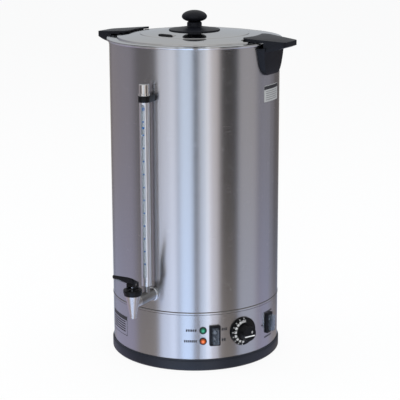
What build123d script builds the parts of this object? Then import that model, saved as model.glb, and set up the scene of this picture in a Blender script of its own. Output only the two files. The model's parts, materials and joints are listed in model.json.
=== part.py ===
from build123d import *

import os
from math import asin, cos, radians, sin, sqrt

os.makedirs("parts", exist_ok=True)

# Hot water urn, double skinned, with a tap, a level gauge and a control skirt.
# Millimetres. The origin is the middle of the base, on the ground. +Z is up, the tap and the
# gauge face -Y, and the handles stand out along +X and -X. Azimuths are measured from -Y
# towards +X, so 0 is the front, 90 the right-hand handle and 180 the rear.

# ------------------------------------------------------------------ driving dimensions
# Sheet metal shell
body_radius = 150.0  # outside of the jacket and of the control skirt
sheet = 1.0  # steel sheet of jacket, skirt, lid and top ring
tank_radius = 119.0  # inside
tank_wall = 1.0
tank_floor_top = 118.0
seam_low = 101.3  # upper edge of the skirt
seam_high = 106.7  # lower edge of the jacket
seam_lap = 6.3  # seam ring behind each sheet
seam_proud = 0.6
seam_web = 1.9
rim_top = 565.0  # top of the rolled rim
roll_radius = 1.75
roll_gap = 0.5  # jacket to roll
insulation_radius = body_radius - 10.0
insulation_gap = 0.5
insulation_ends = 7.0  # bare height at either end of the tank wall

# Base
ring_height = 21.0
ring_proud = 2.5  # base ring beyond the skirt
ring_chamfer = 3.0
ring_ledge = 12.0  # the skirt stands on this ledge
ring_lip_gap = 0.25
ring_foot = 14.5  # radial width of the ring's foot
ring_flange_reach = 10.0
ring_flange_low = 5.0
ring_flange_thick = 4.0
pad_count = 4
pad_length = 30.0
pad_width = 7.0
pad_thick = 3.0
plate_gap = 0.3
vent_count = 12
vent_length = 26.0
vent_width = 4.0
vent_circle = 62.0
post_count = 3
post_circle = 112.0
post_radius = 5.0
screw_radius = 2.5  # M5 screws of the base, the handles and the earth stud
screw_fit = 0.05
screw_clearance = 0.3
screw_head_radius = 4.5
screw_head_thick = 3.0
base_screw_grip = 14.0  # thread inside a post

# Lid
lid_crown = rim_top + 13.0  # top of the dome
crown_radius = 46.0
crease_radius = 97.0
crease_half = 1.2
crease_high = rim_top + 8.8
crease_low = rim_top + 8.0
riser_radius = body_radius - 14.0
riser_run = 0.8
riser_top = rim_top + 3.8
lid_radius = body_radius + 4.0
plug_radius = tank_radius - 5.0
plug_wall = 1.0
plug_depth = 15.0  # below the rim
plug_lip = 2.5
seal_height = 8.0
seal_gap = 0.3
vent_azimuth = -8.0
vent_radius = 76.0
louvre_length = 33.0
louvre_width = 9.0
louvre_rise = 3.4
louvre_skin = 0.8
knob_flange_radius = 45.0
knob_flange_edge = 2.0
knob_neck_radius = 13.85
knob_neck_low = rim_top + 19.5
knob_head_radius = 22.2
knob_head_half = 11.5
knob_top = rim_top + 48.0
knob_screw_radius = 3.0
knob_screw_length = 20.0
knob_screw_head = 6.5

# Handles
handle_azimuths = (90.0, -90.0)
lip_reach = body_radius - 35.0  # inner corners of the lip, from the axis
lip_half = 45.5
lip_corner = 11.0
lip_top = rim_top + 9.6
grip_reach = body_radius + 39.0
grip_half = 24.0
grip_top = rim_top + 3.6
grip_edge = 8.0
grip_corner = 7.0
corbel = (  # underside of the grip: reach, height
    (body_radius + 25.0, rim_top - 9.5),
    (body_radius + 10.0, rim_top - 12.8),
)
jaw_top = rim_top - 7.6
slot_reach = body_radius + 7.0
handle_lid_gap = 1.0
handle_wall_gap = 0.05
notch_gap = 1.2
bracket_inner = body_radius - 12.0
bracket_steps = (  # below the rim, proud of the body, half width at the wall and at the face
    (54.0, 4.0, 23.0, 20.0),
    (52.0, 4.2, 26.5, 23.5),
    (47.0, 4.8, 31.0, 27.5),
    (39.0, 5.4, 34.5, 31.0),
    (27.0, 6.0, 37.5, 34.0),
    (14.0, 6.5, 40.5, 36.5),
    (7.0, 8.5, 42.0, 37.5),
)
handle_screw_level = rim_top - 32.0
handle_screw_half = 18.0
handle_screw_grip = 4.2
handle_screw_bottom = 0.5  # bare bottom of the blind hole
backing_low = rim_top - 47.0
backing_high = rim_top - 17.0
backing_half = 28.0
backing_thick = 2.0
backing_gap = 0.1

# Tap
tap_reach = body_radius + 62.7  # spout axis from the urn's axis
tap_level = 135.0  # shank axis
shank_radius = 9.5
shank_bore = 4.5
shank_joint = tap_reach - 16.7  # where the spout's collar meets the shank
spigot_radius = 7.5
spigot_length = 6.0
thread_fit = 0.05
wall_flange_radius = 12.5
wall_flange_thick = 3.2
wall_seal_thick = 0.8
spacer_radius = 13.0
spacer_inset = 1.6  # sleeve end to the jacket's outside, clear of its curve
inner_seal_radius = 14.0
inner_seal_thick = 2.0
shank_nut_flats = 27.0
shank_nut_thick = 8.0
nozzle_low = 109.0
nozzle_radius = 5.6
nozzle_length = 6.0
nozzle_draft = 0.3
nozzle_bore = 3.6
spout_top = 149.5
spout_radius = 12.9
chamber_radius = 7.6
seat_level = 130.0
neck_radius = 11.4
neck_top = 154.5
bonnet_low_radius = 14.4
bonnet_high_radius = 16.2
bonnet_top = 160.0
bonnet_roof = 4.0
bonnet_bore = 9.5
stem_radius = 4.0
stem_top = 173.5
running_fit = 0.05
cup_radius = 6.6
cup_height = 9.0
cup_foot_radius = 5.0
cup_foot_low = 133.0
cup_foot_thick = 3.0
collar_thick = 1.4
spring_wire = 0.6
spring_radius = 5.6
spring_turns = 5
spring_end_gap = 0.05
pin_radius = 2.0
pin_level = 169.0
pin_half = 7.2
hub_half_width = 7.5
hub_half_depth = 8.0
hub_top = 171.9
heel_gap = 0.6
fork_half = 4.3
fork_roof = 175.6
web_low = 166.0  # the fork is closed in front above this level
web_face = 6.6  # inner face of that web, from the spout's axis
arm_half_width = 6.0
arm_top = ((tap_reach + 13.0, 183.8), (tap_reach + 22.0, 187.8))  # reach, height
arm_bottom = ((tap_reach + 37.3, 184.2), (tap_reach + 23.3, 178.4))
tip_reach = tap_reach + 50.8
tip_high = 197.8
tip_low = 191.6
tip_nose = 1.8

# Level gauge
gauge_reach = body_radius + 18.5  # gauge axis from the urn's axis
glass_radius = 5.0
glass_bore = 3.8
gauge_turn = 12.0  # the window and the scale face this far round from the front
glass_foot = 156.6
glass_top = rim_top - 81.0
boss_radius = 5.6
boss_shoulder_radius = 8.2
boss_shoulder_thick = 1.5
guard_low = 155.4
guard_top = rim_top - 87.6
guard_radius = 8.4
guard_wall = 0.8
guard_window_low = 170.0
guard_window_high = rim_top - 94.0
guard_window_width = 7.0
spigot_rise = 10.0  # centring spigot of the boss inside the guard
socket_radius = 6.1
seal_band = 8.0
seal_fit = 0.05
scale_inner = 6.4
scale_thick = 0.5
scale_width = 9.0
clamp_low = rim_top - 90.6
clamp_high = rim_top - 79.8
clamp_radius = 10.3
clamp_neck_radius = 7.0
clamp_neck_top = rim_top - 69.0
clamp_vent = 3.5
clamp_arm_half = 9.8
clamp_screw_radius = 2.0
clamp_screw_end = body_radius + 8.5
clamp_screw_head = 4.0
cap_washer_radius = 9.4
cap_washer_thick = 0.8
cap_flange_radius = 10.0
cap_flange_thick = 3.2
cap_radius = 8.8
cap_top = rim_top - 60.0

# Controls on the skirt
panel_level = 64.0
switch_azimuths = {"main": 42.8, "boost": 90.0}
frame_width = 19.5
frame_height = 36.5
frame_thick = 4.0
frame_corner = 2.0
housing_width = 14.5
housing_height = 32.0
housing_depth = 22.0
cutout_gap = 0.3
well_width = 10.5
well_height = 28.0
well_depth = 9.0
rocker_width = 9.7
rocker_half = 12.8
rocker_pivot_depth = 2.0
rocker_pivot_radius = 1.5
rocker_pivot_half = 6.3
rocker_tilt = 8.0
boot_width = 12.2
boot_height = 29.0
boot_rise = 8.0
boot_wall = 0.7
boot_edge = 2.4
tab_width = 4.8
tab_thick = 0.8
tab_length = 8.0
tab_pitch = 16.0
lamp_azimuth = 34.9
lamp_levels = {"power": 74.0, "heating": 54.4}
bezel_radius = 6.5
bezel_thick = 1.8
lamp_barrel_radius = 4.9
lamp_barrel_depth = 18.0
lens_radius = 5.0
lens_stem_radius = 4.0
lens_rise = 3.7
lens_seat = 0.6
lens_fit = 0.05
dial_azimuth = 63.4
dial_level = 65.1
dial_radius = 25.2
dial_gap = 1.5
dial_edge = 1.5
hub_radius = 13.5
hub_draft = 0.9
hub_rise = 22.0
dial_cone_rise = 4.5
shaft_radius = 3.0
shaft_end = 14.0
shaft_depth = 20.0
thermostat_size = 34.0
thermostat_depth = 26.0
thermostat_flange = 44.0
thermostat_flange_thick = 1.5
thermostat_inset = 3.0
bush_radius = 5.0
bush_rise = 0.8
bush_shoulder = 7.0

# Heating, supply and wiring under the tank
spreader_radius = 95.0
spreader_thick = 4.0
element_circle = 75.0
element_radius = 4.5
element_gap = 0.05
element_arc = 340.0
element_pin_radius = 3.0
element_pin_low = 88.0
cutout_radius = 8.0
cutout_thick = 9.0
bulb_radius = 3.0
bulb_length = 50.0
bulb_circle = 87.0
capillary_radius = 1.0
capillary_bend = 8.0
gland_azimuth = 180.0
gland_level = 45.0
gland_thread_radius = 8.0
gland_inner = 14.0
gland_flats = 22.0
gland_hex_thick = 6.0
gland_dome_radius = 9.5
gland_length = 18.0
gland_bore = 4.5
gland_nut_thick = 5.0
gland_nut_inset = 2.2
terminal_reach = 92.0
terminal_width = 44.0
terminal_depth = 20.0
terminal_height = 16.0
terminal_pitch = 10.0
wire_radius = 1.5
wire_bend = 7.0
stud_place = (-45.0, 90.0)
stud_height = 16.0
stud_nut_flats = 8.0
stud_nut_thick = 4.0

# ------------------------------------------------------------------ sizes that follow
jacket_bore = body_radius - sheet
tank_outer = tank_radius + tank_wall
tank_floor = tank_floor_top - tank_wall
roll_reach = body_radius + roll_gap + roll_radius
roll_level = rim_top - roll_radius
top_ring_high = roll_level + sheet / 2
top_ring_low = roll_level - sheet / 2
ring_radius = body_radius + ring_proud
foot_inner = ring_radius - ring_foot
plate_radius = foot_inner - plate_gap
plate_low = ring_flange_low - sheet
plate_high = ring_flange_low
brim_top = rim_top + sheet
plug_low = rim_top - plug_depth
seal_reach = tank_radius - seal_gap
spreader_low = tank_floor - spreader_thick
element_level = spreader_low - element_gap - element_radius
cap_low = clamp_high + cap_washer_thick
bonnet_ceiling = bonnet_top - bonnet_roof
lid_outline = (  # upper side of the lid from its middle to its edge
    (0, lid_crown),
    (crown_radius, lid_crown),
    (crease_radius - crease_half, crease_high),
    (crease_radius + crease_half, crease_low),
    (riser_radius, riser_top),
    (riser_radius + riser_run, brim_top),
    (lid_radius, brim_top),
)
through = 12.0  # depth of cuts that only pass a sheet


# ------------------------------------------------------------------ helpers
def outward(azimuth):
    """Horizontal direction that points away from the urn's axis."""
    return Vector(sin(radians(azimuth)), -cos(radians(azimuth)), 0)


def at(azimuth, reach, level):
    """Point at a distance from the urn's axis."""
    return outward(azimuth) * reach + Vector(0, 0, level)


def wall_plane(azimuth, reach, level):
    """Plane that faces out of the body: x to the right seen from outside, y up, z outwards."""
    turn = radians(azimuth)
    return Plane(at(azimuth, reach, level), x_dir=(cos(turn), sin(turn), 0), z_dir=outward(azimuth))


def spin(outline, about=Axis.Z, mode=Mode.ADD):
    """Revolve a closed outline of (radius, distance along the axis) points."""
    across = Vector(1, 0, 0) if abs(about.direction.Z) > 0.5 else Vector(0, 0, 1)
    plane = Plane(about.position, x_dir=across, z_dir=across.cross(about.direction))
    with BuildSketch(plane) as section:
        with BuildLine():
            Polyline(*outline, close=True)
        make_face()
    revolve(section.sketch, axis=about, mode=mode)


def tube(low, high, outer, inner, about=Axis.Z, mode=Mode.ADD):
    """Round tube between two distances along an axis."""
    spin(((inner, low), (outer, low), (outer, high), (inner, high)), about, mode)


def rod(low, high, radius, about=Axis.Z, mode=Mode.ADD):
    """Round rod or bore between two distances along an axis."""
    tube(low, high, radius, 0, about, mode)


def upright(reach):
    """Vertical axis in front of the body, such as that of the gauge or the spout."""
    return Axis((0, -reach, 0), (0, 0, 1))


def radial(azimuth, level):
    """Horizontal axis from the urn's axis outwards; distances along it are radii."""
    return Axis((0, 0, level), outward(azimuth))


def bent_rod(points, bend, radius):
    """Sweep a round section along straight runs with tangent bends."""
    with BuildLine() as route:
        FilletPolyline(*points, radius=bend)
    with BuildSketch(Plane(route.line @ 0, z_dir=route.line % 0)) as section:
        Circle(radius)
    sweep(section.sketch, path=route.line)


def save(piece, label):
    """Label a finished piece and write it as one STEP file."""
    piece.part.label = label
    export_step(piece.part, f"parts/{label}.step")


# ------------------------------------------------------------------ base
with BuildPart() as base_ring:
    spin(
        (
            (foot_inner, 0),
            (ring_radius - ring_chamfer, 0),
            (ring_radius, ring_chamfer),
            (ring_radius, ring_height),
            (body_radius + ring_lip_gap, ring_height),
            (body_radius + ring_lip_gap, ring_ledge),
            (foot_inner, ring_ledge),
            (foot_inner, ring_flange_low + ring_flange_thick),
            (foot_inner - ring_flange_reach, ring_flange_low + ring_flange_thick),
            (foot_inner - ring_flange_reach, ring_flange_low),
            (foot_inner, ring_flange_low),
        )
    )
    lip_edges = base_ring.edges().filter_by(GeomType.CIRCLE)
    fillet(lip_edges.group_by(Axis.Z)[-1].sort_by(SortBy.RADIUS)[-1], radius=0.8)
    with BuildSketch():
        with PolarLocations((foot_inner + ring_radius - ring_chamfer) / 2, pad_count, start_angle=45):
            SlotOverall(pad_length, pad_width, rotation=90)
    extrude(amount=pad_thick, mode=Mode.SUBTRACT)
save(base_ring, "base_ring")

with BuildPart() as base_pads:
    with BuildSketch():
        with PolarLocations((foot_inner + ring_radius - ring_chamfer) / 2, pad_count, start_angle=45):
            SlotOverall(pad_length, pad_width, rotation=90)
    extrude(amount=pad_thick)
save(base_pads, "base_pads")

with BuildPart() as base_plate:
    with BuildSketch(Plane.XY.offset(plate_low)):
        Circle(plate_radius)
        with PolarLocations(post_circle, post_count, start_angle=-90):
            Circle(screw_radius + screw_clearance, mode=Mode.SUBTRACT)
        with PolarLocations(vent_circle, vent_count):
            SlotOverall(vent_length, vent_width, mode=Mode.SUBTRACT)
    extrude(amount=sheet)
save(base_plate, "base_plate")

with BuildPart() as support_posts:
    with BuildSketch(Plane.XY.offset(plate_high)):
        with PolarLocations(post_circle, post_count, start_angle=-90):
            Circle(post_radius)
    extrude(amount=tank_floor - plate_high)
    with BuildSketch(Plane.XY.offset(plate_high)):
        with PolarLocations(post_circle, post_count, start_angle=-90):
            Circle(screw_radius + screw_fit)
    extrude(amount=base_screw_grip + 1, mode=Mode.SUBTRACT)
save(support_posts, "support_posts")

with BuildPart() as base_screws:
    with BuildSketch(Plane.XY.offset(plate_low)):
        with PolarLocations(post_circle, post_count, start_angle=-90):
            Circle(screw_head_radius)
    extrude(amount=-screw_head_thick)
    with BuildSketch(Plane.XY.offset(plate_low)):
        with PolarLocations(post_circle, post_count, start_angle=-90):
            Circle(screw_radius)
    extrude(amount=sheet + base_screw_grip)
save(base_screws, "base_screws")

# ------------------------------------------------------------------ shell
gland_axis = radial(gland_azimuth, gland_level)
dial_axis = radial(dial_azimuth, dial_level)
tap_axis = upright(tap_reach)
gauge_axis = upright(gauge_reach)
shank_axis = radial(0, tap_level)

with BuildPart() as control_skirt:
    tube(ring_ledge, seam_low, body_radius, jacket_bore)
    for azimuth in switch_azimuths.values():
        with BuildSketch(wall_plane(azimuth, body_radius, panel_level)):
            Rectangle(housing_width + 2 * cutout_gap, housing_height + 2 * cutout_gap)
        extrude(amount=-through, mode=Mode.SUBTRACT)
    for level in lamp_levels.values():
        with BuildSketch(wall_plane(lamp_azimuth, body_radius, level)):
            Circle(lamp_barrel_radius + cutout_gap)
        extrude(amount=-through, mode=Mode.SUBTRACT)
    with BuildSketch(wall_plane(dial_azimuth, body_radius, dial_level)):
        Circle(bush_radius + cutout_gap)
    extrude(amount=-through, mode=Mode.SUBTRACT)
    with BuildSketch(wall_plane(gland_azimuth, body_radius, gland_level)):
        Circle(gland_thread_radius + cutout_gap)
    extrude(amount=-through, mode=Mode.SUBTRACT)
save(control_skirt, "control_skirt")

with BuildPart() as seam_ring:
    spin(
        (
            (jacket_bore - seam_web, seam_low - seam_lap),
            (jacket_bore, seam_low - seam_lap),
            (jacket_bore, seam_low),
            (body_radius, seam_low),
            (body_radius + seam_proud, seam_low + seam_proud),
            (body_radius + seam_proud, seam_high - seam_proud),
            (body_radius, seam_high),
            (jacket_bore, seam_high),
            (jacket_bore, seam_high + seam_lap),
            (jacket_bore - seam_web, seam_high + seam_lap),
        )
    )
save(seam_ring, "seam_ring")

with BuildPart() as outer_jacket:
    tube(seam_high, top_ring_low, body_radius, jacket_bore)
    with BuildSketch(wall_plane(0, body_radius, tap_level)):
        Circle(shank_radius + cutout_gap)
    extrude(amount=-through, mode=Mode.SUBTRACT)
    with BuildSketch(wall_plane(0, body_radius, (clamp_low + clamp_high) / 2)):
        Circle(clamp_screw_radius + screw_clearance)
    extrude(amount=-through, mode=Mode.SUBTRACT)
    for azimuth in handle_azimuths:
        with BuildSketch(wall_plane(azimuth, body_radius, handle_screw_level)):
            with GridLocations(2 * handle_screw_half, 0, 2, 1):
                Circle(screw_radius + screw_clearance)
        extrude(amount=-through, mode=Mode.SUBTRACT)
save(outer_jacket, "outer_jacket")

with BuildPart() as inner_tank:
    spin(
        (
            (0, tank_floor),
            (tank_outer, tank_floor),
            (tank_outer, top_ring_low),
            (tank_radius, top_ring_low),
            (tank_radius, tank_floor_top),
            (0, tank_floor_top),
        )
    )
    with BuildSketch(wall_plane(0, tank_outer, tap_level)):
        Circle(shank_radius + cutout_gap)
    extrude(amount=-through, mode=Mode.SUBTRACT)
save(inner_tank, "inner_tank")

with BuildPart() as top_ring:
    tube(top_ring_low, top_ring_high, roll_reach, tank_radius)
    with BuildSketch(Plane.XZ):
        with Locations((roll_reach, roll_level)):
            Circle(roll_radius)
    revolve(axis=Axis.Z)
save(top_ring, "top_ring")

with BuildPart() as insulation:
    tube(
        tank_floor + insulation_ends,
        top_ring_low - insulation_ends,
        insulation_radius,
        tank_outer + insulation_gap,
    )
    with BuildSketch(wall_plane(0, body_radius, tap_level)):
        Circle(spacer_radius + insulation_gap)
    extrude(amount=-(body_radius - tank_radius), mode=Mode.SUBTRACT)
save(insulation, "insulation")

# ------------------------------------------------------------------ heating under the tank
with BuildPart() as heat_spreader:
    rod(spreader_low, tank_floor, spreader_radius)
save(heat_spreader, "heat_spreader")

with BuildPart() as heating_element:
    element_start = 90 + (360 - element_arc) / 2
    with BuildLine(Plane.XY.offset(element_level)) as element_route:
        CenterArc((0, 0), element_circle, element_start, element_arc)
    with BuildSketch(Plane(element_route.line @ 0, z_dir=element_route.line % 0)):
        Circle(element_radius)
    sweep(path=element_route.line)
    with BuildSketch(Plane.XY.offset(element_level)):
        with Locations(element_route.line @ 0, element_route.line @ 1):
            Circle(element_pin_radius)
    extrude(amount=element_pin_low - element_level)
save(heating_element, "heating_element")

with BuildPart() as boil_dry_cutout:
    rod(spreader_low - cutout_thick, spreader_low, cutout_radius)
    with BuildSketch(Plane.XY.offset(spreader_low - cutout_thick)):
        with GridLocations(cutout_radius, 0, 2, 1):
            Rectangle(tab_thick, tab_width)
    extrude(amount=-tab_length)
save(boil_dry_cutout, "boil_dry_cutout")

# ------------------------------------------------------------------ thermostat
thermostat_front = body_radius - thermostat_inset
thermostat_back = thermostat_front - thermostat_flange_thick - thermostat_depth

with BuildPart() as thermostat_body:
    with BuildSketch(wall_plane(dial_azimuth, thermostat_front, dial_level)):
        RectangleRounded(thermostat_flange, thermostat_size, frame_corner)
    extrude(amount=-thermostat_flange_thick)
    with BuildSketch(wall_plane(dial_azimuth, thermostat_back, dial_level)):
        RectangleRounded(thermostat_size, thermostat_size, frame_corner)
    extrude(amount=thermostat_depth)
    rod(thermostat_front, body_radius + bush_rise, bush_radius, dial_axis)
    rod(thermostat_front, jacket_bore - (bush_shoulder**2) / jacket_bore, bush_shoulder, dial_axis)
    rod(
        body_radius - shaft_depth - 1,
        body_radius + bush_rise,
        shaft_radius + running_fit,
        dial_axis,
        Mode.SUBTRACT,
    )
save(thermostat_body, "thermostat_body")

with BuildPart() as thermostat_shaft:
    rod(body_radius - shaft_depth, body_radius + shaft_end, shaft_radius, dial_axis)
save(thermostat_shaft, "thermostat_shaft")

with BuildPart() as thermostat_dial:
    dial_back = body_radius + dial_gap
    spin(
        (
            (0, body_radius + shaft_end),
            (shaft_radius + thread_fit, body_radius + shaft_end),
            (shaft_radius + thread_fit, dial_back),
            (dial_radius, dial_back),
            (dial_radius, dial_back + dial_edge),
            (hub_radius + hub_draft, dial_back + dial_cone_rise),
            (hub_radius, dial_back + dial_cone_rise),
            (hub_radius - hub_draft, body_radius + hub_rise),
            (0, body_radius + hub_rise),
        ),
        dial_axis,
    )
save(thermostat_dial, "thermostat_dial")

with BuildPart() as thermostat_probe:
    inwards = outward(dial_azimuth)
    aside = Vector(-inwards.Y, inwards.X, 0)
    bulb_level = spreader_low - bulb_radius
    bulb_middle = inwards * bulb_circle + Vector(0, 0, bulb_level)
    bent_rod(
        (
            inwards * thermostat_back + Vector(0, 0, dial_level + 8),
            inwards * (thermostat_back - 18) + Vector(0, 0, dial_level + 8),
            bulb_middle + aside * (bulb_length / 2 + 30) - Vector(0, 0, 18),
            bulb_middle + aside * (bulb_length / 2 + 24),
            bulb_middle + aside * (bulb_length / 2 - 1),
        ),
        capillary_bend,
        capillary_radius,
    )
    rod(-bulb_length / 2, bulb_length / 2, bulb_radius, Axis(bulb_middle, aside))
save(thermostat_probe, "thermostat_probe")


# ------------------------------------------------------------------ switches and lamps
def build_switch(name, azimuth):
    """Rocker switch in the skirt: housing with frame, rocker on its pivot, clear boot."""
    face = wall_plane(azimuth, body_radius, panel_level)
    pivot = face.offset(-rocker_pivot_depth).origin
    side = Plane(pivot, x_dir=face.y_dir, z_dir=face.x_dir)
    leaning = face.y_dir.rotate(Axis(pivot, face.x_dir), rocker_tilt)

    with BuildPart() as housing:
        with BuildSketch(face):
            RectangleRounded(frame_width, frame_height, frame_corner)
        extrude(amount=frame_thick)
        fillet(housing.faces().sort_by(Axis(pivot, face.z_dir))[-1].edges(), radius=0.9)
        with BuildSketch(face):
            Rectangle(housing_width, housing_height)
        extrude(amount=-housing_depth)
        with BuildSketch(face.offset(frame_thick)):
            RectangleRounded(well_width, well_height, 0.8)
        extrude(amount=-frame_thick - well_depth, mode=Mode.SUBTRACT)
        with BuildSketch(side):
            Circle(rocker_pivot_radius + running_fit)
        extrude(amount=rocker_pivot_half + running_fit, both=True, mode=Mode.SUBTRACT)
        with BuildSketch(face.offset(-housing_depth)):
            with GridLocations(0, tab_pitch, 1, 2):
                Rectangle(tab_width, tab_thick)
        extrude(amount=-tab_length)
    save(housing, f"{name}_switch_housing")

    with BuildPart() as rocker:
        with BuildSketch(Plane(pivot, x_dir=leaning, z_dir=face.x_dir)):
            with BuildLine():
                Polyline(
                    (-rocker_half, 3.4),
                    (0, 1.4 + rocker_pivot_radius),
                    (rocker_half, 3.4),
                    (rocker_half - 1.0, -2.6),
                    (4, -4.6),
                    (-4, -4.6),
                    (1.0 - rocker_half, -2.6),
                    close=True,
                )
            make_face()
        extrude(amount=rocker_width / 2, both=True)
        with BuildSketch(side):
            Circle(rocker_pivot_radius)
        extrude(amount=rocker_pivot_half, both=True)
    save(rocker, f"{name}_rocker")

    with BuildPart() as boot:
        with BuildSketch(face.offset(frame_thick)):
            RectangleRounded(boot_width, boot_height, boot_edge)
        extrude(amount=boot_rise, taper=4)
        fillet(boot.faces().sort_by(Axis(pivot, face.z_dir))[-1].edges(), radius=boot_edge / 2)
        with BuildSketch(face.offset(frame_thick)):
            RectangleRounded(boot_width - 2 * boot_wall, boot_height - 2 * boot_wall, boot_edge - boot_wall)
        extrude(amount=boot_rise - boot_wall, taper=4, mode=Mode.SUBTRACT)
    save(boot, f"{name}_switch_boot")


for switch_name, switch_azimuth in switch_azimuths.items():
    build_switch(switch_name, switch_azimuth)

with BuildPart() as lamp_bezels:
    for level in lamp_levels.values():
        spin(
            (
                (lens_stem_radius + lens_fit, body_radius - lamp_barrel_depth),
                (lamp_barrel_radius, body_radius - lamp_barrel_depth),
                (lamp_barrel_radius, body_radius),
                (bezel_radius, body_radius),
                (bezel_radius, body_radius + bezel_thick - 0.6),
                (bezel_radius - 0.6, body_radius + bezel_thick),
                (lens_radius + lens_fit, body_radius + bezel_thick),
                (lens_radius + lens_fit, body_radius + lens_seat - lens_fit),
                (lens_stem_radius + lens_fit, body_radius + lens_seat - lens_fit),
            ),
            radial(lamp_azimuth, level),
        )
save(lamp_bezels, "lamp_bezels")


def build_lens(name, level):
    """Domed lamp lens with its stem inside the bezel."""
    axis = radial(lamp_azimuth, level)
    dome_height = lens_rise - bezel_thick
    dome_radius = (lens_radius**2 + dome_height**2) / (2 * dome_height)
    dome_centre = body_radius + lens_rise - dome_radius
    half_angle = asin(lens_radius / dome_radius) / 2
    with BuildPart() as lens:
        with BuildSketch(Plane(axis.position, x_dir=(0, 0, 1), z_dir=Vector(0, 0, 1).cross(axis.direction))):
            with BuildLine():
                edge = (lens_radius, body_radius + bezel_thick)
                crown = (0, body_radius + lens_rise)
                Polyline(
                    crown,
                    (0, body_radius - lamp_barrel_depth / 2),
                    (lens_stem_radius, body_radius - lamp_barrel_depth / 2),
                    (lens_stem_radius, body_radius + lens_seat),
                    (lens_radius, body_radius + lens_seat),
                    edge,
                )
                halfway = (dome_radius * sin(half_angle), dome_centre + dome_radius * cos(half_angle))
                ThreePointArc(edge, halfway, crown)
            make_face()
        revolve(axis=axis)
    save(lens, f"{name}_lamp_lens")


for lamp_name, lamp_level in lamp_levels.items():
    build_lens(lamp_name, lamp_level)

# ------------------------------------------------------------------ mains supply and wiring
with BuildPart() as cord_gland:
    rod(body_radius - gland_inner, body_radius, gland_thread_radius, gland_axis)
    with BuildSketch(wall_plane(gland_azimuth, body_radius, gland_level)):
        RegularPolygon(gland_flats / 2, 6, major_radius=False)
    extrude(amount=gland_hex_thick)
    rod(body_radius, body_radius + gland_length, gland_dome_radius, gland_axis)
    dome_edges = cord_gland.edges().filter_by(GeomType.CIRCLE)
    fillet(dome_edges.sort_by(Axis((0, 0, 0), outward(gland_azimuth)))[-1], radius=3.0)
    rod(
        body_radius - gland_inner,
        body_radius + gland_length,
        gland_bore,
        gland_axis,
        Mode.SUBTRACT,
    )
save(cord_gland, "cord_gland")

with BuildPart() as gland_nut:
    with BuildSketch(wall_plane(gland_azimuth, body_radius - gland_nut_inset, gland_level)):
        RegularPolygon(gland_flats / 2, 6, major_radius=False)
        Circle(gland_thread_radius + thread_fit, mode=Mode.SUBTRACT)
    extrude(amount=-gland_nut_thick)
save(gland_nut, "gland_nut")

with BuildPart() as terminal_block:
    with BuildSketch(Plane.XY.offset(plate_high)):
        with Locations((0, terminal_reach)):
            RectangleRounded(terminal_width, terminal_depth, 1.5)
    extrude(amount=terminal_height)
save(terminal_block, "terminal_block")

with BuildPart() as wiring:
    terminal_top = plate_high + terminal_height
    switch_tab = body_radius - housing_depth - tab_length
    element_pins = [element_route.line @ 0, element_route.line @ 1]
    switch_end = at(switch_azimuths["main"], switch_tab, panel_level)
    thermostat_end = at(dial_azimuth, thermostat_back, dial_level - 10)
    bent_rod(
        (
            (terminal_pitch / 2, terminal_reach, terminal_top),
            (terminal_pitch / 2, terminal_reach, terminal_top + 20),
            (52, -15, terminal_top + 26),
            at(switch_azimuths["main"], switch_tab - 24, panel_level),
            switch_end,
        ),
        wire_bend,
        wire_radius,
    )
    bent_rod(
        (
            (terminal_pitch * 1.5, terminal_reach, terminal_top),
            (terminal_pitch * 1.5, terminal_reach, terminal_top + 12),
            (64, 20, terminal_top + 14),
            at(dial_azimuth, thermostat_back - 22, dial_level - 10),
            thermostat_end,
        ),
        wire_bend,
        wire_radius,
    )
    for pin, slot in zip(sorted(element_pins, key=lambda point: point.X), (-1.5, -0.5)):
        bent_rod(
            (
                (slot * terminal_pitch, terminal_reach, terminal_top),
                (slot * terminal_pitch, terminal_reach, terminal_top + 16),
                (pin.X, pin.Y, element_pin_low - 24),
                (pin.X, pin.Y, element_pin_low),
            ),
            wire_bend,
            wire_radius,
        )
save(wiring, "wiring")

with BuildPart() as earth_stud:
    with BuildSketch(Plane.XY.offset(plate_high)):
        with Locations(stud_place):
            Circle(screw_radius)
    extrude(amount=stud_height)
    with BuildSketch(Plane.XY.offset(plate_high)):
        with Locations(stud_place):
            RegularPolygon(stud_nut_flats / 2, 6, major_radius=False)
    extrude(amount=stud_nut_thick)
save(earth_stud, "earth_stud")

# ------------------------------------------------------------------ handles
# The envelope is the space that the body, the rolled rim and the lid need under a handle.
rim_envelope = (
    (0, seam_high),
    (body_radius + handle_wall_gap, seam_high),
    (body_radius + handle_wall_gap, jaw_top),
    (slot_reach, jaw_top),
    (slot_reach, brim_top + handle_lid_gap),
    (riser_radius + riser_run + handle_lid_gap, brim_top + handle_lid_gap),
    (riser_radius + handle_lid_gap, riser_top + handle_lid_gap),
    (crease_radius, crease_low + handle_lid_gap),
    (0, crease_low + handle_lid_gap),
)

with BuildSketch() as grip_plan:
    with BuildLine():
        FilletPolyline(
            (lip_reach, -lip_half),
            (grip_reach, -grip_half),
            (grip_reach, grip_half),
            (lip_reach, lip_half),
            radius=(lip_corner, grip_corner, grip_corner, lip_corner),
            close=True,
        )
    make_face()
    # the lid's seal passes between the lips when the lid is lifted
    Circle(seal_reach + notch_gap, mode=Mode.SUBTRACT)

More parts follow.
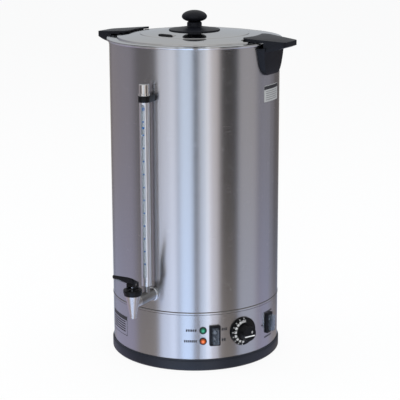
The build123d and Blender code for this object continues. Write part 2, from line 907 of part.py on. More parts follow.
with BuildPart() as handle_right:
    with BuildSketch(Plane.XZ):
        with BuildLine():
            Polyline(
                (lip_reach, lip_top),
                (grip_reach, grip_top),
                (grip_reach, grip_top - grip_edge),
                *corbel,
                (body_radius + bracket_steps[-2][1], rim_top - bracket_steps[-2][0]),
                (lip_reach, rim_top - bracket_steps[-2][0]),
                close=True,
            )
        make_face()
    extrude(amount=lip_half, both=True)
    extrude(grip_plan.sketch, amount=knob_top, mode=Mode.INTERSECT)
    for drop, proud, wall_half, face_half in bracket_steps:
        with BuildSketch(Plane.XY.offset(rim_top - drop)):
            with BuildLine():
                Polyline(
                    (bracket_inner, -wall_half),
                    (body_radius + proud, -face_half),
                    (body_radius + proud, face_half),
                    (bracket_inner, wall_half),
                    close=True,
                )
            make_face()
    loft(ruled=True)
    spin(rim_envelope, mode=Mode.SUBTRACT)
    with BuildSketch(wall_plane(90, body_radius + handle_screw_grip + handle_screw_bottom, handle_screw_level)):
        with GridLocations(2 * handle_screw_half, 0, 2, 1):
            Circle(screw_radius + screw_fit)
    extrude(amount=-handle_screw_grip - through, mode=Mode.SUBTRACT)
save(handle_right, "handle_right")

with BuildPart() as handle_left:
    mirror(handle_right.part, about=Plane.YZ)
save(handle_left, "handle_left")

with BuildPart() as handle_backing:
    with BuildSketch(Plane.XY.offset(backing_low)):
        Circle(jacket_bore - backing_gap)
        Circle(jacket_bore - backing_gap - backing_thick, mode=Mode.SUBTRACT)
        Rectangle(2 * body_radius, 2 * backing_half, mode=Mode.INTERSECT)
    extrude(amount=backing_high - backing_low)
    for azimuth in handle_azimuths:
        with BuildSketch(wall_plane(azimuth, body_radius, handle_screw_level)):
            with GridLocations(2 * handle_screw_half, 0, 2, 1):
                Circle(screw_radius + screw_clearance)
        extrude(amount=-through, mode=Mode.SUBTRACT)
save(handle_backing, "handle_backing")

# a screw's flat head rests on the curved backing plate at the head's outer edge
backing_face = jacket_bore - backing_gap - backing_thick
handle_screw_seat = sqrt(backing_face**2 - (handle_screw_half + screw_head_radius) ** 2) - screw_fit

with BuildPart() as handle_screws:
    for azimuth in handle_azimuths:
        with BuildSketch(wall_plane(azimuth, handle_screw_seat, handle_screw_level)):
            with GridLocations(2 * handle_screw_half, 0, 2, 1):
                Circle(screw_head_radius)
        extrude(amount=-screw_head_thick)
        with BuildSketch(wall_plane(azimuth, handle_screw_seat, handle_screw_level)):
            with GridLocations(2 * handle_screw_half, 0, 2, 1):
                Circle(screw_radius)
        extrude(amount=body_radius + handle_screw_grip - handle_screw_seat)
save(handle_screws, "handle_screws")

# ------------------------------------------------------------------ tap
inner_seal_face = sqrt(tank_radius**2 - inner_seal_radius**2) - thread_fit
shank_nut_face = inner_seal_face - inner_seal_thick
shank_inner_end = shank_nut_face - shank_nut_thick
wall_flange_face = body_radius + wall_seal_thick

with BuildPart() as tap_shank:
    rod(shank_inner_end, shank_joint, shank_radius, shank_axis)
    rod(shank_joint, shank_joint + spigot_length, spigot_radius, shank_axis)
    spin(
        (
            (0, tap_level),
            (boss_radius, tap_level),
            (boss_radius, guard_low - boss_shoulder_thick),
            (boss_shoulder_radius, guard_low - boss_shoulder_thick),
            (boss_shoulder_radius, guard_low),
            (guard_radius - guard_wall - seal_fit, guard_low),
            (guard_radius - guard_wall - seal_fit, guard_low + spigot_rise),
            (0, guard_low + spigot_rise),
        ),
        gauge_axis,
    )
    rod(glass_foot, guard_low + spigot_rise, socket_radius, gauge_axis, Mode.SUBTRACT)
    rod(tap_level, glass_foot, glass_bore - 0.8, gauge_axis, Mode.SUBTRACT)
    rod(shank_inner_end, shank_joint + spigot_length, shank_bore, shank_axis, Mode.SUBTRACT)
save(tap_shank, "tap_shank")

with BuildPart() as shank_flange:
    tube(
        wall_flange_face,
        wall_flange_face + wall_flange_thick,
        wall_flange_radius,
        shank_radius + thread_fit,
        shank_axis,
    )
    flange_edges = shank_flange.edges().filter_by(GeomType.CIRCLE).sort_by(SortBy.RADIUS)[-2:]
    fillet(flange_edges.sort_by(Axis((0, 0, 0), outward(0)))[-1], radius=1.4)
save(shank_flange, "shank_flange")

with BuildPart() as shank_spacer:
    tube(
        tank_outer + thread_fit,
        body_radius - spacer_inset,
        spacer_radius,
        shank_radius + thread_fit,
        shank_axis,
    )
save(shank_spacer, "shank_spacer")

with BuildPart() as shank_seals:
    tube(
        body_radius,
        wall_flange_face,
        wall_flange_radius - 0.5,
        shank_radius + thread_fit,
        shank_axis,
    )
    tube(
        shank_nut_face,
        inner_seal_face,
        inner_seal_radius,
        shank_radius + thread_fit,
        shank_axis,
    )
save(shank_seals, "shank_seals")

with BuildPart() as shank_nut:
    with BuildSketch(wall_plane(0, shank_nut_face, tap_level)):
        RegularPolygon(shank_nut_flats / 2, 6, major_radius=False)
        Circle(shank_radius + thread_fit, mode=Mode.SUBTRACT)
    extrude(amount=-shank_nut_thick)
save(shank_nut, "shank_nut")

with BuildPart() as tap_body:
    spin(
        (
            (0, nozzle_low),
            (nozzle_radius, nozzle_low),
            (nozzle_radius + nozzle_draft, nozzle_low + nozzle_length),
            (spout_radius, spout_top),
            (neck_radius, spout_top),
            (neck_radius, neck_top),
            (0, neck_top),
        ),
        tap_axis,
    )
    rod(shank_joint, tap_reach, shank_radius, shank_axis)
    rod(seat_level, neck_top, chamber_radius, tap_axis, Mode.SUBTRACT)
    rod(nozzle_low, seat_level, nozzle_bore, tap_axis, Mode.SUBTRACT)
    socket_end = shank_joint + spigot_length + 0.2
    rod(shank_joint, socket_end, spigot_radius + thread_fit, shank_axis, Mode.SUBTRACT)
    rod(socket_end, tap_reach, shank_bore, shank_axis, Mode.SUBTRACT)
save(tap_body, "tap_body")

with BuildPart() as tap_bonnet:
    spin(
        (
            (neck_radius + thread_fit, spout_top),
            (bonnet_low_radius, spout_top),
            (bonnet_high_radius, bonnet_top - 3.5),
            (bonnet_high_radius, bonnet_top - 0.9),
            (bonnet_high_radius - 0.9, bonnet_top),
            (stem_radius + running_fit, bonnet_top),
            (stem_radius + running_fit, bonnet_ceiling),
            (bonnet_bore, bonnet_ceiling),
            (bonnet_bore, neck_top + thread_fit),
            (neck_radius + thread_fit, neck_top + thread_fit),
        ),
        tap_axis,
    )
save(tap_bonnet, "tap_bonnet")

cup_top = seat_level + cup_height
foot_top = cup_foot_low + cup_foot_thick

with BuildPart() as tap_stem:
    spin(
        (
            (0, cup_foot_low),
            (cup_foot_radius, cup_foot_low),
            (cup_foot_radius, foot_top),
            (stem_radius, foot_top),
            (stem_radius, cup_top),
            (cup_radius, cup_top),
            (cup_radius, cup_top + collar_thick),
            (stem_radius, cup_top + collar_thick),
            (stem_radius, stem_top - 0.6),
            (stem_radius - 0.6, stem_top),
            (0, stem_top),
        ),
        tap_axis,
    )
    with BuildSketch(Plane.YZ):
        with Locations((-tap_reach, pin_level)):
            Circle(pin_radius + screw_fit)
    extrude(amount=hub_half_width, both=True, mode=Mode.SUBTRACT)
save(tap_stem, "tap_stem")

with BuildPart() as seat_cup:
    spin(
        (
            (0, seat_level),
            (cup_radius - 1, seat_level),
            (cup_radius, seat_level + 1),
            (cup_radius, cup_top),
            (stem_radius + seal_fit, cup_top),
            (stem_radius + seal_fit, foot_top + seal_fit),
            (cup_foot_radius + seal_fit, foot_top + seal_fit),
            (cup_foot_radius + seal_fit, cup_foot_low - seal_fit),
            (0, cup_foot_low - seal_fit),
        ),
        tap_axis,
    )
save(seat_cup, "seat_cup")

with BuildPart() as tap_spring:
    spring_foot = cup_top + collar_thick + spring_wire + spring_end_gap
    spring_head = bonnet_ceiling - spring_wire - spring_end_gap
    with BuildLine() as coil:
        Helix(
            pitch=(spring_head - spring_foot) / spring_turns,
            height=spring_head - spring_foot,
            radius=spring_radius,
            center=(0, -tap_reach, spring_foot),
        )
    with BuildSketch(Plane(coil.line @ 0, z_dir=coil.line % 0)):
        Circle(spring_wire)
    sweep(path=coil.line, is_frenet=True)
save(tap_spring, "tap_spring")

with BuildPart() as lever_pin:
    with BuildSketch(Plane.YZ):
        with Locations((-tap_reach, pin_level)):
            Circle(pin_radius)
    extrude(amount=pin_half, both=True)
save(lever_pin, "lever_pin")

heel = bonnet_top + heel_gap
hub_front = tap_reach + hub_half_depth
hub_back = tap_reach - hub_half_depth
lever_top = ((hub_back, hub_top), *arm_top, (tip_reach, tip_high))

with BuildPart() as tap_lever:
    with BuildSketch(Plane.YZ):
        with BuildLine():
            Polyline(
                (-hub_back, heel),
                *[(-reach, level) for reach, level in lever_top[:2]],
                (-hub_front, arm_bottom[-1][1]),
                (-hub_front, heel),
                close=True,
            )
        make_face()
    extrude(amount=hub_half_width, both=True)
    with BuildSketch(Plane.YZ):
        with BuildLine():
            Polyline(
                (-tap_reach, pin_level),
                *[(-reach, level) for reach, level in lever_top],
                (-tip_reach - tip_nose, (tip_high + tip_low) / 2),
                (-tip_reach, tip_low),
                *[(-reach, level) for reach, level in arm_bottom],
                (-hub_front, pin_level + pin_radius),
                close=True,
            )
        make_face()
    extrude(amount=arm_half_width, both=True)
    for low, high, front in ((heel, web_low, hub_half_depth), (web_low, fork_roof, web_face)):
        with BuildSketch(Plane.XZ.offset(hub_back)):
            with Locations((0, low)):
                Rectangle(2 * fork_half, high - low, align=(Align.CENTER, Align.MIN))
        extrude(amount=hub_half_depth + front, mode=Mode.SUBTRACT)
    with BuildSketch(Plane.YZ):
        with Locations((-tap_reach, pin_level)):
            Circle(pin_radius + running_fit)
    extrude(amount=hub_half_width, both=True, mode=Mode.SUBTRACT)
save(tap_lever, "tap_lever")

# ------------------------------------------------------------------ level gauge
with BuildPart() as gauge_glass:
    tube(glass_foot + 0.4, glass_top, glass_radius, glass_bore, gauge_axis)
save(gauge_glass, "gauge_glass")

with BuildPart() as gauge_seals:
    tube(
        glass_foot + 0.4,
        glass_foot + 0.4 + seal_band,
        socket_radius - seal_fit,
        glass_radius + seal_fit,
        gauge_axis,
    )
    tube(
        guard_top + seal_fit,
        glass_top,
        socket_radius - seal_fit,
        glass_radius + seal_fit,
        gauge_axis,
    )
save(gauge_seals, "gauge_seals")

with BuildPart() as gauge_guard:
    tube(guard_low, guard_top, guard_radius, guard_radius - guard_wall, gauge_axis)
    window_centre = at(0, gauge_reach, (guard_window_low + guard_window_high) / 2)
    with BuildSketch(Plane(window_centre, x_dir=(0, 0, 1), z_dir=outward(gauge_turn))):
        SlotOverall(guard_window_high - guard_window_low, guard_window_width)
    extrude(amount=2 * guard_radius, mode=Mode.SUBTRACT)
save(gauge_guard, "gauge_guard")

with BuildPart() as gauge_scale:
    with BuildSketch(Plane.XY.offset(guard_low + spigot_rise)):
        with Locations((0, -gauge_reach)):
            Circle(scale_inner + scale_thick)
            Circle(scale_inner, mode=Mode.SUBTRACT)
        with Locations((0, -gauge_reach)):
            Rectangle(
                scale_width,
                2 * guard_radius,
                rotation=gauge_turn,
                align=(Align.CENTER, Align.MIN),
                mode=Mode.INTERSECT,
            )
    extrude(amount=guard_top - guard_low - spigot_rise)
save(gauge_scale, "gauge_scale")

clamp_screw_axis = radial(0, (clamp_low + clamp_high) / 2)

with BuildPart() as gauge_clamp:
    with BuildSketch(Plane.XY.offset(clamp_low)):
        with Locations((0, -gauge_reach)):
            Rectangle(
                2 * clamp_arm_half,
                gauge_reach - jacket_bore,
                align=(Align.CENTER, Align.MIN),
            )
    extrude(amount=clamp_high - clamp_low)
    rod(clamp_low, clamp_high, clamp_radius, gauge_axis)
    rod(clamp_high, clamp_neck_top, clamp_neck_radius, gauge_axis)
    rod(clamp_low, clamp_high, body_radius + handle_wall_gap, mode=Mode.SUBTRACT)
    rod(clamp_low, guard_top, guard_radius + seal_fit, gauge_axis, Mode.SUBTRACT)
    rod(guard_top, glass_top + 0.2, socket_radius, gauge_axis, Mode.SUBTRACT)
    rod(glass_top, clamp_neck_top, clamp_vent, gauge_axis, Mode.SUBTRACT)
    rod(jacket_bore, clamp_screw_end + 0.5, clamp_screw_radius + screw_fit, clamp_screw_axis, Mode.SUBTRACT)
save(gauge_clamp, "gauge_clamp")

with BuildPart() as clamp_screw:
    clamp_screw_seat = sqrt(jacket_bore**2 - clamp_screw_head**2) - screw_fit
    rod(clamp_screw_seat - 2.6, clamp_screw_seat, clamp_screw_head, clamp_screw_axis)
    rod(clamp_screw_seat, clamp_screw_end, clamp_screw_radius, clamp_screw_axis)
save(clamp_screw, "clamp_screw")

with BuildPart() as cap_washer:
    tube(
        clamp_high,
        cap_low,
        cap_washer_radius,
        clamp_neck_radius + running_fit,
        gauge_axis,
    )
save(cap_washer, "cap_washer")

with BuildPart() as gauge_cap:
    spin(
        (
            (clamp_neck_radius + running_fit, cap_low),
            (cap_flange_radius, cap_low),
            (cap_flange_radius, cap_low + cap_flange_thick - 0.6),
            (cap_radius, cap_low + cap_flange_thick),
            (cap_radius, cap_top - 1.2),
            (cap_radius - 1.2, cap_top),
            (0, cap_top),
            (0, clamp_neck_top + 1),
            (clamp_neck_radius + running_fit, clamp_neck_top + 1),
        ),
        gauge_axis,
    )
save(gauge_cap, "gauge_cap")

# ------------------------------------------------------------------ lid
with BuildSketch() as notch_plan:
    add(grip_plan.sketch)
    offset(amount=notch_gap)

with BuildPart() as lid_shell:
    underside = [(reach, level - sheet) for reach, level in reversed(lid_outline)]
    spin((*lid_outline, *underside))
    riser_slope = (crease_low - riser_top) / (riser_radius - crease_radius)
    plug_top = crease_low - riser_slope * (plug_radius - crease_radius) - sheet / 2
    spin(
        (
            (plug_radius - plug_wall, plug_low),
            (plug_radius + plug_lip, plug_low),
            (plug_radius + plug_lip, plug_low + plug_wall),
            (plug_radius, plug_low + plug_wall),
            (plug_radius, plug_top),
            (plug_radius - plug_wall, plug_top),
        )
    )
    # steam louvre: a raised hood that is open towards the rim
    hood = wall_plane(vent_azimuth, vent_radius - louvre_width / 2, 0)
    dome_fall = (lid_crown - crease_high) / (crease_radius - crease_half - crown_radius)
    hood_low = lid_crown - dome_fall * (vent_radius + louvre_width / 2 - crown_radius) - sheet
    with BuildSketch(Plane(hood.origin + Vector(0, 0, hood_low), x_dir=hood.x_dir, z_dir=(0, 0, 1))):
        with Locations((0, -louvre_width / 2)):
            RectangleRounded(louvre_length, louvre_width, 1.5)
    extrude(amount=louvre_rise + sheet)
    mouth_level = hood_low + (louvre_rise + sheet - louvre_skin) / 2
    with BuildSketch(wall_plane(vent_azimuth, vent_radius - louvre_width / 2 + louvre_skin, mouth_level)):
        Rectangle(louvre_length - 2 * louvre_skin, louvre_rise + sheet - louvre_skin)
    extrude(amount=louvre_width, mode=Mode.SUBTRACT)
    with BuildSketch(Plane.XY.offset(plug_low)):
        Circle(knob_screw_radius + screw_clearance)
        add(notch_plan.sketch)
        mirror(notch_plan.sketch, about=Plane.YZ)
    extrude(amount=knob_top - plug_low, mode=Mode.SUBTRACT)
save(lid_shell, "lid_shell")

with BuildPart() as lid_seal:
    tube(
        plug_low + plug_wall + seal_gap,
        plug_low + plug_wall + seal_gap + seal_height,
        seal_reach,
        plug_radius + seal_gap,
    )
save(lid_seal, "lid_seal")

with BuildPart() as lid_knob:
    edge = (knob_head_radius, knob_top - knob_head_half)
    chin = knob_top - 2 * knob_head_half + 2
    with BuildSketch(Plane.XZ):
        with BuildLine():
            lower = Bezier((knob_neck_radius, chin), (knob_head_radius, chin + 0.5), edge)
            upper = Bezier(
                edge,
                (knob_head_radius, knob_top - knob_head_half * 0.45),
                (knob_head_radius * 0.65, knob_top),
                (0, knob_top),
            )
            Polyline(
                upper @ 1,
                (0, lid_crown + knob_screw_length + 0.5),
                (knob_screw_radius + screw_fit, lid_crown + knob_screw_length + 0.5),
                (knob_screw_radius + screw_fit, lid_crown),
                (knob_flange_radius, lid_crown),
                (knob_flange_radius, lid_crown + knob_flange_edge),
                (knob_neck_radius, knob_neck_low),
                lower @ 0,
            )
        make_face()
    revolve(axis=Axis.Z)
save(lid_knob, "lid_knob")

with BuildPart() as knob_screw:
    knob_screw_seat = lid_crown - sheet
    rod(knob_screw_seat - screw_head_thick, knob_screw_seat, knob_screw_head)
    rod(knob_screw_seat, lid_crown + knob_screw_length, knob_screw_radius)
save(knob_screw, "knob_screw")
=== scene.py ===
"""Looks of a hot water urn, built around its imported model.

Lengths are metres and angles are degrees unless a name says otherwise. Azimuths are measured
from the front of the urn (-Y) towards its right-hand handle (+X).
"""
import json
import logging
from dataclasses import dataclass
from enum import Enum
from functools import cache
from math import asin, atan2, cos, pi, radians, sin, sqrt, tan
from typing import Any, Iterable, Sequence, Union

import bmesh
import bpy
from mathutils import Matrix, Vector


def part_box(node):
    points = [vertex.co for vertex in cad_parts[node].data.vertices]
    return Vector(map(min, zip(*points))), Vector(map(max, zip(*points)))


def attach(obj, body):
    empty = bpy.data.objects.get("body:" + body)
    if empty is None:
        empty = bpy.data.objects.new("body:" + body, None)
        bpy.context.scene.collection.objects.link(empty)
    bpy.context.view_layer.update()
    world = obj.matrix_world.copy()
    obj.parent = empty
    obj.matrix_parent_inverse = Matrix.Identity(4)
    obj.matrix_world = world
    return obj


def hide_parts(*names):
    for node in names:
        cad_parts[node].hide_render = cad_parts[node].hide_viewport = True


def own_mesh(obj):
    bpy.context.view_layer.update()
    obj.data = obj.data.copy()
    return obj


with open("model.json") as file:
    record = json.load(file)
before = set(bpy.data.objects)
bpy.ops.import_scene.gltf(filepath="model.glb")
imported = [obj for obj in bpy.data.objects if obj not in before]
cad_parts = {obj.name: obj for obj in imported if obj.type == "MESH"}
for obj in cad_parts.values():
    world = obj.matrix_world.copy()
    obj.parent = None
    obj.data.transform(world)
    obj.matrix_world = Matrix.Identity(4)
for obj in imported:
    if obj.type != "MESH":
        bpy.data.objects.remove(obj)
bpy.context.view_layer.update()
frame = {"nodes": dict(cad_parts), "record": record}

LOG = logging.getLogger("urn")
MM = 0.001
ROUND_STEPS = 5  # faces of a rounded corner
FINE = 256  # faces round a large turned piece
INT, FLOAT, VECTOR = "NodeSocketInt", "NodeSocketFloat", "NodeSocketVector"

Object = bpy.types.Object
Material = bpy.types.Material
Outline = Sequence[tuple]
Colour = tuple[float, float, float]
Term = Union["Signal", int, float]


class Body(Enum):
    """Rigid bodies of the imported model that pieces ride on."""

    URN = "urn"
    LID = "lid"
    LEVER = "tap_lever"
    DIAL = "thermostat_dial"
    MAIN_ROCKER = "main_rocker"
    BOOST_ROCKER = "boost_rocker"


class Slot(Enum):
    """Material slots of the record."""

    SHEET = "brushed_sheet"
    TURNED = "bright_steel"
    POLISHED = "polished_steel"
    TANK = "tank_steel"
    ALUMINIUM = "aluminium_plate"
    ZINC = "zinc_steel"
    BRASS = "brass_fitting"
    BLACK = "black_plastic"
    GLOSS_BLACK = "gloss_black"
    BASE = "base_plastic"
    PALE = "pale_plastic"
    SILICONE = "silicone"
    RUBBER = "dark_rubber"
    BOOT = "clear_boot"
    TUBE = "gauge_tube"
    GREEN = "green_lens"
    AMBER = "amber_lens"
    WOOL = "wool"
    WIRE = "copper_wire"
    SCALE = "scale_strip"


class Grain(Enum):
    """Direction in which a metal surface was worked."""

    AROUND = "around the upright axis"
    TURNED = "fine turning marks"
    PLAIN = "no direction"


# ---------------------------------------------------------------------------------------------
# Node trees


class Signal:
    """An output socket that Python expressions can use."""

    def __init__(self, tree: "Tree", socket: bpy.types.NodeSocket) -> None:
        """Keep a socket and the tree that it belongs to.

        Args:
            tree: Tree that new maths nodes go to.
            socket: Output socket to wrap.
        """
        self.tree = tree
        self.socket = socket

    def math(self, operation: str, *others: Term, clamp: bool = False) -> "Signal":
        """Add a Math node whose first input is this signal.

        Args:
            operation: Name of the Math node's operation.
            others: Its other inputs.
            clamp: Whether the result stays between 0 and 1.

        Returns:
            The result.
        """
        return self.tree.maths(operation, self, *others, clamp=clamp)

    def __add__(self, other: Term) -> "Signal":
        """Add."""
        return self.math("ADD", other)

    def __radd__(self, other: float) -> "Signal":
        """Add to a number."""
        return self.math("ADD", other)

    def __sub__(self, other: Term) -> "Signal":
        """Subtract."""
        return self.math("SUBTRACT", other)

    def __rsub__(self, other: float) -> "Signal":
        """Subtract from a number."""
        return self.tree.maths("SUBTRACT", other, self)

    def __mul__(self, other: Term) -> "Signal":
        """Multiply."""
        return self.math("MULTIPLY", other)

    def __truediv__(self, other: Term) -> "Signal":
        """Divide."""
        return self.math("DIVIDE", other)

    def __abs__(self) -> "Signal":
        """Magnitude."""
        return self.math("ABSOLUTE")

    def rising(self, low: float, high: float) -> "Signal":
        """Rise smoothly from 0 at low to 1 at high.

        Args:
            low: Value at which the result starts to rise.
            high: Value at which the result is 1.

        Returns:
            The smooth step.
        """
        settings = {"interpolation_type": "SMOOTHSTEP"}
        inputs = {"Value": self, "From Min": low, "From Max": high}
        return self.tree.place("ShaderNodeMapRange", settings, inputs).out("Result")


class Placed:
    """A node in a tree, with its outputs as signals."""

    def __init__(self, tree: "Tree", node: bpy.types.Node) -> None:
        """Keep a node and the tree that holds it."""
        self.tree = tree
        self.node = node

    def out(self, name: Union[str, int] = 0) -> Signal:
        """Return an output by its name or number."""
        return Signal(self.tree, self.node.outputs[name])


class Tree:
    """A node tree that is filled from Python."""

    def __init__(self, nodes: bpy.types.NodeTree) -> None:
        """Start on an empty tree.

        Args:
            nodes: Node tree to fill.
        """
        self.nodes = nodes
        nodes.nodes.clear()

    def place(self, kind: str, settings: dict[str, Any] | None = None, inputs: Any = None) -> Placed:
        """Add a node.

        Args:
            kind: Type name of the node.
            settings: Properties that are set before the inputs.
            inputs: Values or signals, as a dict by socket name or number, or as a list.

        Returns:
            The new node.
        """
        node = self.nodes.nodes.new(kind)
        for key, value in (settings or {}).items():
            setattr(node, key, value)
        pairs = enumerate(inputs) if isinstance(inputs, (list, tuple)) else (inputs or {}).items()
        for key, value in pairs:
            self.feed(node.inputs[key], value)
        return Placed(self, node)

    def feed(self, socket: bpy.types.NodeSocket, value: Any) -> None:
        """Link a signal to an input, or set its value.

        Args:
            socket: Input socket.
            value: Signal, number, colour, vector or data block.
        """
        if isinstance(value, Signal):
            self.nodes.links.new(value.socket, socket)
        elif socket.type == "RGBA" and len(value) == 3:
            socket.default_value = (*value, 1.0)
        else:
            socket.default_value = value

    def maths(self, operation: str, *values: Term, clamp: bool = False) -> Signal:
        """Add a Math node and return its result."""
        settings = {"operation": operation, "use_clamp": clamp}
        return self.place("ShaderNodeMath", settings, list(values)).out()

    def axes(self, vector: Signal) -> tuple[Signal, Signal, Signal]:
        """Split a vector into its three numbers."""
        split = self.place("ShaderNodeSeparateXYZ", None, [vector])
        return split.out("X"), split.out("Y"), split.out("Z")

    def vector(self, x: Term, y: Term, z: Term) -> Signal:
        """Join three numbers into a vector."""
        return self.place("ShaderNodeCombineXYZ", None, [x, y, z]).out()


class Shader(Tree):
    """A material's node tree."""

    def __init__(self, name: str) -> None:
        """Make an empty material.

        Args:
            name: Name of the material.
        """
        self.material = bpy.data.materials.new(name)
        self.material.use_nodes = True
        super().__init__(self.material.node_tree)

    def position(self) -> Signal:
        """Return the point in the object's own space, in metres."""
        return self.place("ShaderNodeTexCoord").out("Object")

    def noise(self, vector: Signal, scale: float, detail: float = 2.0) -> Signal:
        """Return noise between 0 and 1 over a vector."""
        inputs = {"Vector": vector, "Scale": scale, "Detail": detail}
        return self.place("ShaderNodeTexNoise", None, inputs).out("Fac")

    def blend(self, factor: Term, low: Colour, high: Colour) -> Signal:
        """Mix two colours, from low at factor 0 to high at factor 1."""
        inputs = {0: factor, 6: low, 7: high}
        return self.place("ShaderNodeMix", {"data_type": "RGBA"}, inputs).out(2)

    def bump(self, height: Signal, depth: float, strength: float) -> Signal:
        """Return a normal that follows a height from 0 to 1, which is depth metres high."""
        inputs = {"Height": height, "Strength": strength, "Distance": depth}
        return self.place("ShaderNodeBump", None, inputs).out("Normal")

    def close(self, surface: Signal) -> Material:
        """End the tree with a surface and return the material."""
        self.place("ShaderNodeOutputMaterial", None, {"Surface": surface})
        return self.material


class GeometryTree(Tree):
    """A Geometry Nodes tree with named inputs."""

    def __init__(self, name: str, sizes: dict[str, str]) -> None:
        """Make an empty tree.

        Args:
            name: Name of the tree.
            sizes: Names of its own inputs and their socket types.
        """
        super().__init__(bpy.data.node_groups.new(name, "GeometryNodeTree"))
        self.sockets: dict[str, str] = {}
        face = self.nodes.interface
        face.new_socket("Geometry", in_out="INPUT", socket_type="NodeSocketGeometry")
        for label, kind in {**sizes, "Material": "NodeSocketMaterial"}.items():
            socket = face.new_socket(label, in_out="INPUT", socket_type=kind)
            self.sockets[label] = socket.identifier
        face.new_socket("Geometry", in_out="OUTPUT", socket_type="NodeSocketGeometry")
        self.entry = self.place("NodeGroupInput")

    def size(self, label: str) -> Signal:
        """Return one of the tree's inputs."""
        return self.entry.out(label)

    def repeat(self, points: Signal, **inputs: Signal) -> "GeometryTree":
        """End the tree with a bar of its Bar input on every point."""
        bar = self.place("GeometryNodeMeshCube", None, {"Size": self.size("Bar")}).out("Mesh")
        inputs = {"Points": points, "Instance": bar, **inputs}
        return self.close(self.place("GeometryNodeInstanceOnPoints", None, inputs).out())

    def close(self, geometry: Signal) -> "GeometryTree":
        """End the tree: real geometry, smooth faces and the material.

        Args:
            geometry: What the tree has made.

        Returns:
            The same tree.
        """
        real = self.place("GeometryNodeRealizeInstances", None, {"Geometry": geometry}).out()
        smooth = self.place("GeometryNodeSetShadeSmooth", None, {"Geometry": real}).out()
        inputs = {"Geometry": smooth, "Material": self.size("Material")}
        dressed = self.place("GeometryNodeSetMaterial", None, inputs).out()
        self.place("NodeGroupOutput", None, {"Geometry": dressed})
        return self

    def grow(self, obj: Object, material: Material, **sizes: Any) -> Object:
        """Run the tree on an object and keep the result as its plain mesh.

        Args:
            obj: Object whose mesh the tree starts from.
            material: Material of the result.
            sizes: Values of the tree's inputs.

        Returns:
            The same object.
        """
        modifier = obj.modifiers.new("grow", "NODES")
        modifier.node_group = self.nodes
        for label, value in {**sizes, "Material": material}.items():
            modifier[self.sockets[label]] = value
        return Workshop.settle(obj)


class Trees:
    """Geometry Nodes trees, each built once."""

    @staticmethod
    @cache
    def turning() -> GeometryTree:
        """Return the tree that turns a chain of points about the Z axis."""
        tree = GeometryTree("turning", {"Segments": INT})
        chain, segments = tree.size("Geometry"), tree.size("Segments")
        count = tree.place("GeometryNodeAttributeDomainSize", None, {"Geometry": chain}).out("Point Count")
        inputs = {"Vertices X": segments + 1, "Vertices Y": count}
        grid = tree.place("GeometryNodeMeshGrid", None, inputs).out("Mesh")
        index = tree.place("GeometryNodeInputIndex").out()
        step, link = (
            tree.place("FunctionNodeIntegerMath", {"operation": operation}, [index, count]).out()
            for operation in ("DIVIDE_FLOOR", "MODULO")
        )
        settings = {"data_type": "FLOAT_VECTOR", "domain": "POINT"}
        sample = tree.place("GeometryNodeSampleIndex", settings, {"Geometry": chain, "Index": link})
        position = tree.place("GeometryNodeInputPosition").out()
        tree.feed(next(s for s in sample.node.inputs if s.name == "Value" and s.enabled), position)
        radius, _, height = tree.axes(Signal(tree, next(s for s in sample.node.outputs if s.enabled)))
        angle = step / segments * (2 * pi)
        turned = tree.vector(radius * angle.math("COSINE"), radius * angle.math("SINE"), height)
        inputs = {"Geometry": grid, "Position": turned}
        shell = tree.place("GeometryNodeSetPosition", None, inputs).out()
        inputs = {"Geometry": shell, "Distance": 1e-7}
        return tree.close(tree.place("GeometryNodeMergeByDistance", None, inputs).out())

    @staticmethod
    @cache
    def ring() -> GeometryTree:
        """Return the tree that sets bars round the Z axis, pointing away from it."""
        floats = dict.fromkeys(("Radius", "Start", "Pitch", "Lean"), FLOAT)
        tree = GeometryTree("ring of bars", {"Count": INT, **floats, "Bar": VECTOR})
        angle = tree.size("Start") + tree.place("GeometryNodeInputIndex").out() * tree.size("Pitch")
        radius = tree.size("Radius")
        spot = tree.vector(radius * angle.math("COSINE"), radius * angle.math("SINE"), 0.0)
        inputs = {"Count": tree.size("Count"), "Position": spot}
        points = tree.place("GeometryNodePoints", None, inputs).out()
        return tree.repeat(points, Rotation=tree.vector(0.0, tree.size("Lean"), angle))

    @staticmethod
    @cache
    def row() -> GeometryTree:
        """Return the tree that sets bars one above the other, up the Y axis."""
        tree = GeometryTree("row of bars", {"Count": INT, "Pitch": FLOAT, "Bar": VECTOR})
        inputs = {"Count": tree.size("Count"), "Offset": tree.vector(0.0, tree.size("Pitch"), 0.0)}
        return tree.repeat(tree.place("GeometryNodeMeshLine", None, inputs).out())

    @staticmethod
    @cache
    def coil() -> GeometryTree:
        """Return the tree that winds a round wire up the Z axis."""
        tree = GeometryTree("coil", dict.fromkeys(("Turns", "Radius", "Height", "Wire"), FLOAT))
        inputs = {
            "Resolution": 48,
            "Rotations": tree.size("Turns"),
            "Start Radius": tree.size("Radius"),
            "End Radius": tree.size("Radius"),
            "Height": tree.size("Height"),
        }
        spiral = tree.place("GeometryNodeCurveSpiral", None, inputs).out()
        inputs = {"Resolution": 12, "Radius": tree.size("Wire")}
        section = tree.place("GeometryNodeCurvePrimitiveCircle", None, inputs).out("Curve")
        inputs = {"Curve": spiral, "Profile Curve": section, "Fill Caps": True}
        return tree.close(tree.place("GeometryNodeCurveToMesh", None, inputs).out())


# ---------------------------------------------------------------------------------------------
# Mesh work


class MeshEdit:
    """Context that opens an object's mesh in bmesh and writes it back."""

    def __init__(self, obj: Object) -> None:
        """Keep the object."""
        self.obj = obj
        self.bm = bmesh.new()

    def __enter__(self) -> bmesh.types.BMesh:
        """Read the mesh."""
        self.bm.from_mesh(self.obj.data)
        return self.bm

    def __exit__(self, *_: Any) -> None:
        """Write the mesh back."""
        self.bm.to_mesh(self.obj.data)
        self.bm.free()


